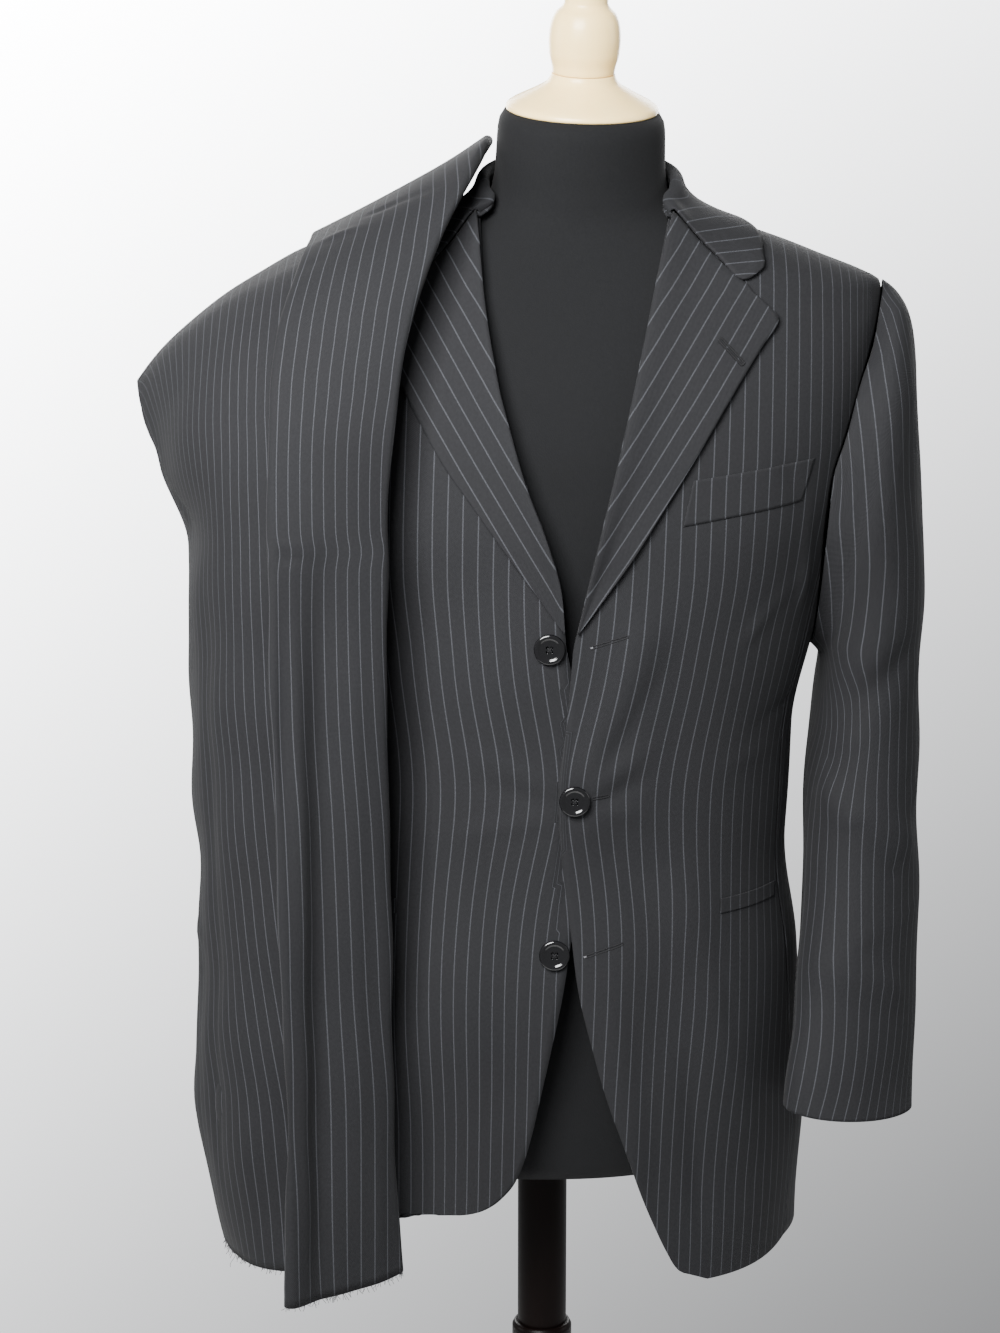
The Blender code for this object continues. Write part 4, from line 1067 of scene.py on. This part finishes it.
def lapel_grid(left):
    """The lapel's places on the body: sideways, height and how far out."""
    share = evenly(LAPEL_SIZE[1])
    last = len(LAPEL["roll_z"]) - 1
    along = np.linspace(0, last, LAPEL_SIZE[0])
    roll_z, edge_x, edge_z, shift = (smooth(along, range(last + 1), values) for values in LAPEL.values())
    start_x = column(ROLL_LEFT if left else ROLL_RIGHT, "x", roll_z)
    if not left:
        edge_x = -(edge_x + shift)
    x = start_x[:, None] + (edge_x - start_x)[:, None] * share
    z = roll_z[:, None] + (edge_z - roll_z)[:, None] * share
    rise = ease((roll_z - BREAK_Z) / 0.075)[:, None]
    out = LAPEL_LIFT + rise * (LAPEL_ROLL * np.exp(-((share / 0.22) ** 2)) + 0.0012 * share**3)
    out = out + overlap_out(x, z) * left
    # At the gorge the lapel runs level with the collar that it is sewn to, as collar_half shapes it.
    collar_out = WALL + COLLAR_CLEAR + COLLAR_WALL + 0.0056 * np.exp(-((0.82 * share / 0.3) ** 2))
    out = out + (collar_out - LAPEL_WALL - out) * ease(along - (last - 1))[:, None]
    return x, z, out


def build_lapel(left):
    x, z, out = lapel_grid(left)
    grid = body_point(angle_at(x, z), z, out)
    size = np.abs(x)
    stripes = (size * LAPEL_GRAIN[1] - z * LAPEL_GRAIN[0]) / STRIPE_PITCH + PHASE["lapel"]
    along = size * LAPEL_GRAIN[0] + z * LAPEL_GRAIN[1]
    if not left:
        grid, stripes, along = grid[:, ::-1], stripes[:, ::-1], along[:, ::-1]
    grid = creased(grid, "lapel", folds=False)
    sheet(side_of("lapel", left), grid, stripes, along, LAPEL_WALL)


# The stripes are level on the collar's front leaves and meet the lapels' at the gorge. Then they turn to run
# across its length. Their counts at the floor and at the gorge, their rise and the distance between them.
LEVEL_COUNT, ROUND_COUNT, LEVEL_RISE, LEVEL_PITCH = 123.19, -70.0, 0.05, 0.0078
COLLAR_ROWS, COLLAR_LINES = 80, 40  # from the gorge to the middle, and from the foot to the fall's edge
MIDDLE_LINE = 25  # the line on which the stripes are counted
TURN_FROM, TURN_OVER = 0.035, 0.050  # how far from the gorge they turn
FALL_LENGTH = 0.09
ROLL_CLEAR = 0.0006  # from the roll line to the collar's end


def build_collar():
    left = collar_half(float(column(ROLL_LEFT, "x", GORGE_START_Z)) + ROLL_CLEAR, COLLAR_ROWS)
    right = collar_half(ROLL_CLEAR - float(column(ROLL_RIGHT, "x", GORGE_START_Z)), COLLAR_ROWS)
    grid = np.concatenate([right * np.array([-1.0, 1.0, 1.0]), left[::-1][1:]])
    stations = np.arange(grid.shape[1])
    at = np.linspace(0, grid.shape[1] - 1, COLLAR_LINES)
    fine = np.stack([[smooth(at, stations, line[:, k]) for k in range(3)] for line in grid])
    fine = fine.transpose(2, 0, 1)
    run = run_along(fine[MIDDLE_LINE])
    from_gorge = run[-1] / 2 - np.abs(run - run[-1] / 2)
    round_it = from_gorge / STRIPE_PITCH + ROUND_COUNT
    level = LEVEL_COUNT - (fine[..., 2] - LEVEL_RISE * np.abs(fine[..., 0])) / LEVEL_PITCH
    stripes = level + (round_it - level) * ease((from_gorge - TURN_FROM) / TURN_OVER)
    along = np.broadcast_to(np.linspace(0, FALL_LENGTH, COLLAR_LINES)[:, None], fine.shape[:2])
    sheet("collar", fine, stripes, along, COLLAR_WALL)


# How far the sleeve's widest point lies before or behind its outer line, at each height of its head.
SLEEVE_HEAD = table("z half_depth", """
1040 64
1120 70
1160 76
1200 80
1240 81
1280 80
1320 75
1360 62
1390 45
1405 28
1418 8
""", MM)
SLEEVE_HALF = 0.041  # half the width of its level sections
HEAD_WIDEST = 1.240
HEAD_FROM, HEAD_TO = 1.060, 1.150  # the stripes follow level sections above, and the sleeve's own rings below
SLEEVE_ROUND = 96  # points in a ring
CAP_ROWS, CAP_EASED, CAP_PASSES = 9, 34, 70  # rings from the armhole to the tube, and how they are eased


def level_run(grid):
    """Distance round the sleeve from its outer line, along a level cut through each point."""
    z = grid[..., 2]
    out_z, out_x = SLEEVE["out_z"][::-1], SLEEVE["out_x"][::-1]
    across = (grid[..., 0] - np.interp(z, out_z, out_x) + SLEEVE_HALF) / SLEEVE_HALF
    deep = column(SLEEVE_HEAD, "half_depth", z)
    turn = np.arctan2(np.abs(grid[..., 1]) / deep, across)
    turn = turn + (np.arccos(np.clip(across, -1, 1)) - turn) * ease((z - HEAD_WIDEST) / 0.05)
    steps = (np.arange(24) + 0.5) / 24 * turn[..., None]
    widest = np.where(z > HEAD_WIDEST, column(SLEEVE_HEAD, "half_depth", HEAD_WIDEST), deep)
    return np.hypot(SLEEVE_HALF * np.sin(steps), widest[..., None] * np.cos(steps)).mean(-1) * turn


def sleeve_rings(pressed):
    """Rings from the armhole to the cuff, and the outer line."""
    count = len(SLEEVE["depth"])
    along = np.linspace(0, count - 1, SLEEVE_ROWS)
    row = {k: smooth(along, range(count), v) for k, v in SLEEVE.items()}
    if pressed:
        press = ease((PRESS_FROM - row["in_z"]) / (PRESS_FROM - PRESS_TO))
        for key, most in PRESS.items():
            row[key] = row[key] + most * press
        row["in_x"] = row["in_x"] + (PRESSED_IN_X - row["in_x"]) * press
    outer = np.stack([row["out_x"], row["out_y"], row["out_z"]], axis=-1)
    inner = np.stack([row["in_x"], row["in_y"], row["in_z"]], axis=-1)
    turn = np.arange(SLEEVE_ROUND) / SLEEVE_ROUND * 2 * math.pi
    middle, arm = (outer + inner) / 2, (outer - inner) / 2
    rings = middle[:, None] + arm[:, None] * np.cos(turn)[None, :, None]
    rings[..., 1] -= row["depth"][:, None] * np.sin(turn)
    loop = armhole_loop(SLEEVE_ROUND)[None]
    share = np.linspace(0, 1, CAP_ROWS, endpoint=False)[:, None, None]
    grid = np.concatenate([loop + (rings[:1] - loop) * share, rings])
    for _ in range(CAP_PASSES):
        eased = grid[1:CAP_EASED] * 0.5 + (grid[: CAP_EASED - 1] + grid[2 : CAP_EASED + 1]) * 0.25
        grid[1:CAP_EASED] = eased
    return grid, outer


def build_sleeve(left):
    straight, outer = sleeve_rings(False)
    grid, _ = sleeve_rings(not left)
    closed = closed_round(straight)
    run = run_along(closed)
    front = run <= run[:, -1:] / 2
    run = np.where(front, run, run[:, -1:] - run)
    run = run + (level_run(closed) - run) * ease((closed[..., 2] - HEAD_FROM) / (HEAD_TO - HEAD_FROM))
    drop = np.concatenate([np.linspace(-0.02, 0, CAP_ROWS + 1), run_along(outer)[1:]])
    stripes = np.where(front, run, -run) / column(PITCH, "sleeve", closed[..., 2]) + PHASE["sleeve"]
    lengthways = np.broadcast_to(drop[:, None], stripes.shape)
    if not left:
        grid = grid[::-1] * np.array([-1.0, 1.0, 1.0])
        stripes, lengthways = stripes[::-1], lengthways[::-1]
    name = side_of("sleeve", left)
    sheet(name, creased(grid, name, closed=True), stripes, lengthways, WALL, closed=True)


def strip(node, left, ends):
    """A narrow strip on a front. ends holds its two ends as WELT does."""
    up, across = evenly(STRIP_GRID[0])[:, None], evenly(STRIP_GRID[1])[None, :]
    x_foot, x_head, z_foot, z_head = (a + (b - a) * across for a, b in ends)
    x = x_foot + (x_head - x_foot) * up
    z = z_foot + (z_head - z_foot) * up
    angle = angle_at(x, z)
    if not left:
        angle, z = -angle[:, ::-1], z[:, ::-1]
    bare = body_point(angle, z)
    raised = fold_height(bare) + crease_height(bare, "jacket") + WALL + TRIM_CLEAR
    grid = bare + outward(angle, z) * raised[..., None]
    sheet(node, grid, jacket_stripes(node, angle, z), z, TRIM_WALL)


def build_pockets():
    strip("breast_welt", True, WELT)
    sideways = (JET_X, ring_point(BODY, JET_ANGLE, JET_Z)[0])
    foot, head = (JET_Z, JET_Z), (JET_Z + JET_HEIGHT, JET_Z + JET_HEIGHT)
    for left in (True, False):
        strip(side_of("hip_pocket", left), left, (sideways, sideways, foot, head))


# ---------------------------------------------------------------- trousers

KINK, KINK_Z, KINK_TALL = 0.22, 1.2415, 0.009  # the pressed-in fold pulls the near leg's stripes aside


def flat_sheet(node, grid, stripes, drop, wall, group=None):
    """A flat tube's sheet. drop is the distance down the cloth at each ring."""
    along = np.broadcast_to(drop[:, None], stripes.shape)
    if signed_side(grid):
        grid, stripes, along = grid[::-1], stripes[::-1], along[::-1]
    if group:
        grid = creased(grid, group, closed=True, folds=False)
    sheet(node, grid, stripes, along, wall, closed=True, inward=True)


def build_legs():
    for node, group, rings, (rows, faces), rests_on in (
        ("trouser_leg_left", "leg_near", LEG_A, LEG_GRID, "cloth_trouser_leg_right"),
        ("trouser_leg_right", "leg_far", LEG_B, LEG_GRID, "front_right back_right"),
        ("trouser_seat", "seat", SEAT, SEAT_GRID, "back_right"),
    ):
        grid = flat_rings(rings, rows, faces)
        closed = closed_round(grid)
        run = run_along(closed)
        if group == "leg_near":
            stripes = (run[:, faces - 1 : faces] - run - NEAR_FIRST) / leg_column("near_pitch", rows)
            stripes = stripes - KINK * np.exp(-(((closed[..., 2] - KINK_Z) / KINK_TALL) ** 2))
        elif group == "leg_far":
            line = leg_column("far_line", rows)[:, 0]
            start = [np.interp(-x, -ring[:faces, 0], arc[:faces]) for x, ring, arc in zip(line, grid, run)]
            stripes = (run - np.array(start)[:, None]) / leg_column("far_pitch", rows)
        else:
            stripes = (run[:, faces - 1 : faces] - run) / LEG_STRIPES["near_pitch"][-1]
        flat_sheet(node, grid, stripes, run_along(grid.mean(1)), LEG_WALL, group)


def leg_column(key, rows):
    """A column of the legs' stripe table, read at every ring."""
    values = LEG_STRIPES[key]
    return smooth(np.linspace(0, len(values) - 1, rows), range(len(values)), values)[:, None]


def signed_side(grid):
    """True if the rings' faces point into the tube."""
    normal = normals(grid, True)
    return float(((grid - grid.mean(1, keepdims=True)) * normal).sum()) < 0


def build_waistband():
    low = {k: (v[-1], v[-1]) for k, v in SEAT.items()}
    for key in ("neck_z", "mid_z", "out_z"):
        low[key] = (SEAT[key][-1] - GAP, SEAT[key][-1] - GAP - WAISTBAND_HEIGHT)
    low["thick"] = (SEAT["thick"][-1] + WAISTBAND_OUT, SEAT["thick"][-1] + WAISTBAND_OUT)
    grid = flat_rings(low, *BAND_GRID)
    stripes = run_along(closed_round(grid)) / STRIPE_PITCH
    drop = np.linspace(0, WAISTBAND_HEIGHT, BAND_GRID[0])
    flat_sheet("waistband", grid, stripes, drop, LEG_WALL + WAISTBAND_OUT)


# ---------------------------------------------------------------- buttons and sewing


def front_spot(x, z, over, lift):
    """A point on a front's outer face and the way out of it."""
    x, z = np.array(float(x)), np.array(float(z))
    angle = angle_at(x, z)
    out = front_out(x, z, over) if over else 0.0
    bare = body_point(angle, z, out)
    normal = outward(angle, z)
    raised = float(fold_height(bare)) + float(crease_height(bare, "jacket")) + WALL + lift
    return bare + normal * raised, normal


def facing(normal):
    """Rotation that turns +Z to the normal."""
    return (math.acos(normal[2]), 0.0, math.atan2(normal[1], normal[0]) + math.pi / 2)


# A button's holes, their distance from its middle, and half the space between the two threads through them.
HOLE_RADIUS, HOLE_REACH, THREAD_OFF = 0.00105, 0.0026 / 1.41 * 1.2, 0.00022


def build_buttons():
    for name, x, z, over, lift in zip(*BUTTONS.values()):
        spot, normal = front_spot(x, z, over, lift)
        profile = [(BUTTON_RADIUS * out, BUTTON_THICK * up) for out, up in BUTTON_PROFILE]
        made = lathe("gloss_" + name, name, profile, button_look, 64)
        cutters = []
        for way in range(4):
            turn = math.radians(45 + 90 * way)
            bpy.ops.mesh.primitive_cylinder_add(vertices=24, radius=HOLE_RADIUS, depth=0.02)
            cutter = bpy.context.active_object
            cutter.location = (HOLE_REACH * math.cos(turn), HOLE_REACH * math.sin(turn), 0.0)
            cutters.append(cutter)
            cut = made.modifiers.new("hole", "BOOLEAN")
            cut.object = cutter
            cut.solver = "EXACT"
        graph = bpy.context.evaluated_depsgraph_get()
        bored = bpy.data.meshes.new_from_object(made.evaluated_get(graph))
        made.modifiers.clear()
        made.data = bored
        for cutter in cutters:
            bpy.data.objects.remove(cutter)
        made.location = tuple(lean(spot))
        made.rotation_euler = facing(normal)
        place_threads(name, made)


def tube_along(name, lines, radius, look):
    """A thin thread through each line's points."""
    curve = bpy.data.curves.new(name, "CURVE")
    curve.dimensions = "3D"
    curve.bevel_depth = radius
    curve.bevel_resolution = 2
    curve.use_fill_caps = True
    for line in lines:
        spline = curve.splines.new("POLY")
        spline.points.add(len(line) - 1)
        spline.points.foreach_set("co", np.column_stack([line, np.ones(len(line))]).reshape(-1))
    add(name, curve, look)


def place_threads(name, button):
    """Thread over the button's middle, from hole to hole, crosswise."""
    matrix = np.array(button.matrix_basis)
    lines = []
    sunk = BUTTON_THICK * BUTTON_PROFILE[0][1]
    for way in (45, 135):
        turn = math.radians(way)
        for side in (-THREAD_OFF, THREAD_OFF):
            t = np.linspace(-1, 1, 9)
            off = np.array([-math.sin(turn), math.cos(turn)]) * side
            x, y = t * HOLE_REACH * math.cos(turn) + off[0], t * HOLE_REACH * math.sin(turn) + off[1]
            up = sunk + 0.0004 * (1 - t**4) + (0.0001 if way == 45 else 0.0003)
            local = np.stack([x, y, up, np.ones(9)], axis=-1)
            lines.append((local @ matrix.T)[:, :3])
    tube_along("thread_" + name, lines, 0.00028, thread_look)


BUTTONHOLES = table("name x z to_x to_z", """
buttonhole_top 16.5 1165 42 1173.5
buttonhole_middle 21.5 1051.5 33 1053
buttonhole_bottom 20 930 47.5 939
""", MM)
LAPEL_HOLE = ((0.1020, 1.3815), (0.1190, 1.3640))
HOLE_POINTS = 12  # along a buttonhole
# The stitch's distance from the slit, its swing outward, and the thread's radius.
STITCH_IN, STITCH_SWING, STITCH_THREAD = 0.00065, 0.00045, 0.00034


def worked_hole(name, points, normal, spread=1.0):
    """Two close rows of buttonhole stitch round a slit, a little proud of the cloth."""
    run = points[-1] - points[0]
    across = np.cross(normal, unit(run))
    stitches = HOLE_POINTS * 6
    lines = []
    for side in (-1, 1):
        line = []
        for i in range(stitches):
            k = i / (stitches - 1) * (HOLE_POINTS - 1)
            j = min(int(k), HOLE_POINTS - 2)
            spot = points[j] + (points[j + 1] - points[j]) * (k - j)
            line.append(spot + across * side * (STITCH_IN + STITCH_SWING * (i % 2)) * spread)
        lines.append(np.array(line))
    lines.append(np.array([lines[0][-1], points[-1] + (points[-1] - points[-2]) * 0.25, lines[1][-1]]))
    tube_along(name, [lean(line) for line in lines], STITCH_THREAD * spread, thread_look)


def build_buttonholes():
    share = evenly(HOLE_POINTS)
    for name, x, z, to_x, to_z in zip(*BUTTONHOLES.values()):
        spots = [front_spot(x + (to_x - x) * t, z + (to_z - z) * t, True, 0.00025) for t in share]
        points = np.array([p for p, _ in spots])
        worked_hole(name, points, spots[5][1])
        if name != "buttonhole_middle":
            run = points[-1] - points[0]
            tack = lean(np.array([points[0] - run * 0.02, points[0] + run * 0.05]))
            tube_along(name + "_tack", [tack], 0.0007, pale_thread)
    (x, z), (to_x, to_z) = LAPEL_HOLE
    x, z = x + (to_x - x) * share, z + (to_z - z) * share
    points = body_point(angle_at(x, z), z, np.full(HOLE_POINTS, LAPEL_LIFT + LAPEL_WALL + 0.0010))
    worked_hole("lapel_buttonhole", points, outward(angle_at(x[6], z[6]), z[6]), 1.7)


FRAY = (LEG_A, 150), (LEG_B, 190)  # threads at each hem
FRAY_SHORT, FRAY_LONG, FRAY_RADIUS, LOOSE_RADIUS = 0.0012, 0.0042, 0.00016, 0.0002


def build_fray():
    """Raw trouser hems: short threads standing out of the cut edge, and one long loose one."""
    random = np.random.default_rng(11)
    lines = []
    for rings, count in FRAY:
        hem = flat_rings(rings, *LEG_GRID)[0]
        centre = hem.mean(0)
        for _ in range(count):
            k = random.uniform(0, len(hem) - 1.001)
            j = int(k)
            foot = hem[j] + (hem[j + 1] - hem[j]) * (k - j)
            foot = foot + unit(centre - foot) * 0.0006
            long = random.uniform(FRAY_SHORT, FRAY_LONG)
            way = np.array([0.0, 0.0, -1.0]) + random.normal(size=3) * np.array([0.35, 0.25, 0.2])
            bend = random.normal(size=3) * 0.3 * long
            t = evenly(4)[:, None]
            lines.append(foot + way * long * t + bend * t**2)
    t = evenly(12)[:, None]
    loose = hem[44] + np.array([0.004, -0.002, -0.015]) * t + np.array([0.003, 0.0, 0.0]) * np.sin(t * 5)
    tube_along("hem_fray", [lean(line) for line in lines], FRAY_RADIUS, thread_look)
    tube_along("loose_thread", [lean(loose)], LOOSE_RADIUS, pale_thread)


# ---------------------------------------------------------------- stage

FLOOR_RADIUS, FLOOR_SIDES, FLOOR_Z = 1.16, 128, -0.0002


def build_stage():
    turn = np.linspace(0, 2 * math.pi, FLOOR_SIDES, endpoint=False)
    rim = [(FLOOR_RADIUS * math.cos(t), FLOOR_RADIUS * math.sin(t), FLOOR_Z) for t in turn]
    mesh = bpy.data.meshes.new("floor")
    mesh.from_pydata(rim, [], [range(FLOOR_SIDES)])
    mesh.materials.append(new_look("pale_floor", (0.80, 0.80, 0.79), 0.9)[0])
    floor = bpy.data.objects.new("floor", mesh)
    bpy.context.scene.collection.objects.link(floor)


# Soft lights: place, aim, width, height and power.
LIGHTS = table("name x y z at_x at_y at_z wide high power", """
key -0.55 -1.4 2.12 -0.12 0 1.4 0.9 0.8 126
side_left -2.4 0.1 1.8 0 0 1.1 1 1.6 24
side_right 2.4 0.3 1.8 0 0 1.1 1 1.6 16
back_left -0.9 2.3 1.9 0 0 1.15 1 1.4 60
back_right 0.9 2.3 1.9 0 0 1.15 1 1.4 52
""")
AMBIENT = 0.5  # the world's light on the suit
# The pale backdrop is the world as the camera sees it, with painted light and shade on it, lighter upward and
# darker to the right: the natural logarithm of its brightness a little below the horizon, how that changes
# upward and to the right, and the directions between which it changes.
BACKDROP, BACKDROP_UP, BACKDROP_RIGHT = 0.90, 6.2, -4.4
BACKDROP_LEVEL = -0.21
UP_RANGE, RIGHT_RANGE = (-0.45, 0.02), (-0.2, 0.2)


def build_lights():
    for name, x, y, z, at_x, at_y, at_z, wide, high, power in zip(*LIGHTS.values()):
        light = bpy.data.lights.new(name, "AREA")
        light.shape = "RECTANGLE"
        light.size, light.size_y = wide, high
        light.energy = power
        made = bpy.data.objects.new(name, light)
        made.location = (x, y, z)
        made.rotation_euler = (Vector((at_x, at_y, at_z)) - made.location).to_track_quat("-Z", "Y").to_euler()
        bpy.context.scene.collection.objects.link(made)
    world = bpy.data.worlds.new("studio")
    world.use_nodes = True
    tree = world.node_tree
    right, _, up = new_node(tree, "SeparateXYZ", {0: new_node(tree, "TexCoord", {})["Generated"]})
    up, right = (
        math_node(tree, "MINIMUM", math_node(tree, "MAXIMUM", way, least), most)
        for way, (least, most) in ((up, UP_RANGE), (right, RIGHT_RANGE))
    )
    # painted light on the backdrop: brighter upward and darker to the right, for camera rays only
    level = math_node(tree, "MULTIPLY_ADD", up, BACKDROP_UP, BACKDROP - BACKDROP_LEVEL * BACKDROP_UP)
    level = math_node(tree, "MULTIPLY_ADD", right, BACKDROP_RIGHT, level)
    glow = math_node(tree, "EXPONENT", level)
    seen = new_node(tree, "LightPath", {})["Is Camera Ray"]
    more = math_node(tree, "SUBTRACT", glow, AMBIENT)
    background = tree.nodes["Background"]
    feed(tree, background.inputs["Strength"], math_node(tree, "MULTIPLY_ADD", more, seen, AMBIENT))
    feed(tree, background.inputs["Color"], (0.97, 0.98, 1.0))
    bpy.context.scene.world = world


CAMERA_PLACE, CAMERA_PITCH, CAMERA_LENS = (-0.034, -2.40, 1.65), 12.5, 85.6


def build_camera():
    camera = bpy.data.cameras.new("camera")
    camera.sensor_fit = "VERTICAL"
    camera.sensor_height = 36.0
    camera.lens = CAMERA_LENS
    made = bpy.data.objects.new("camera", camera)
    made.location = CAMERA_PLACE
    made.rotation_euler = (math.radians(90 - CAMERA_PITCH), 0.0, 0.0)
    bpy.context.scene.collection.objects.link(made)
    bpy.context.scene.camera = made


build_form()
build_stand()
for is_left in (True, False):
    build_front(is_left)
    build_side(is_left)
    build_back(is_left)
    build_lapel(is_left)
    build_sleeve(is_left)
build_collar()
build_pockets()
build_legs()
build_waistband()
build_buttons()
build_buttonholes()
build_fray()
build_stage()
build_lights()
build_camera()
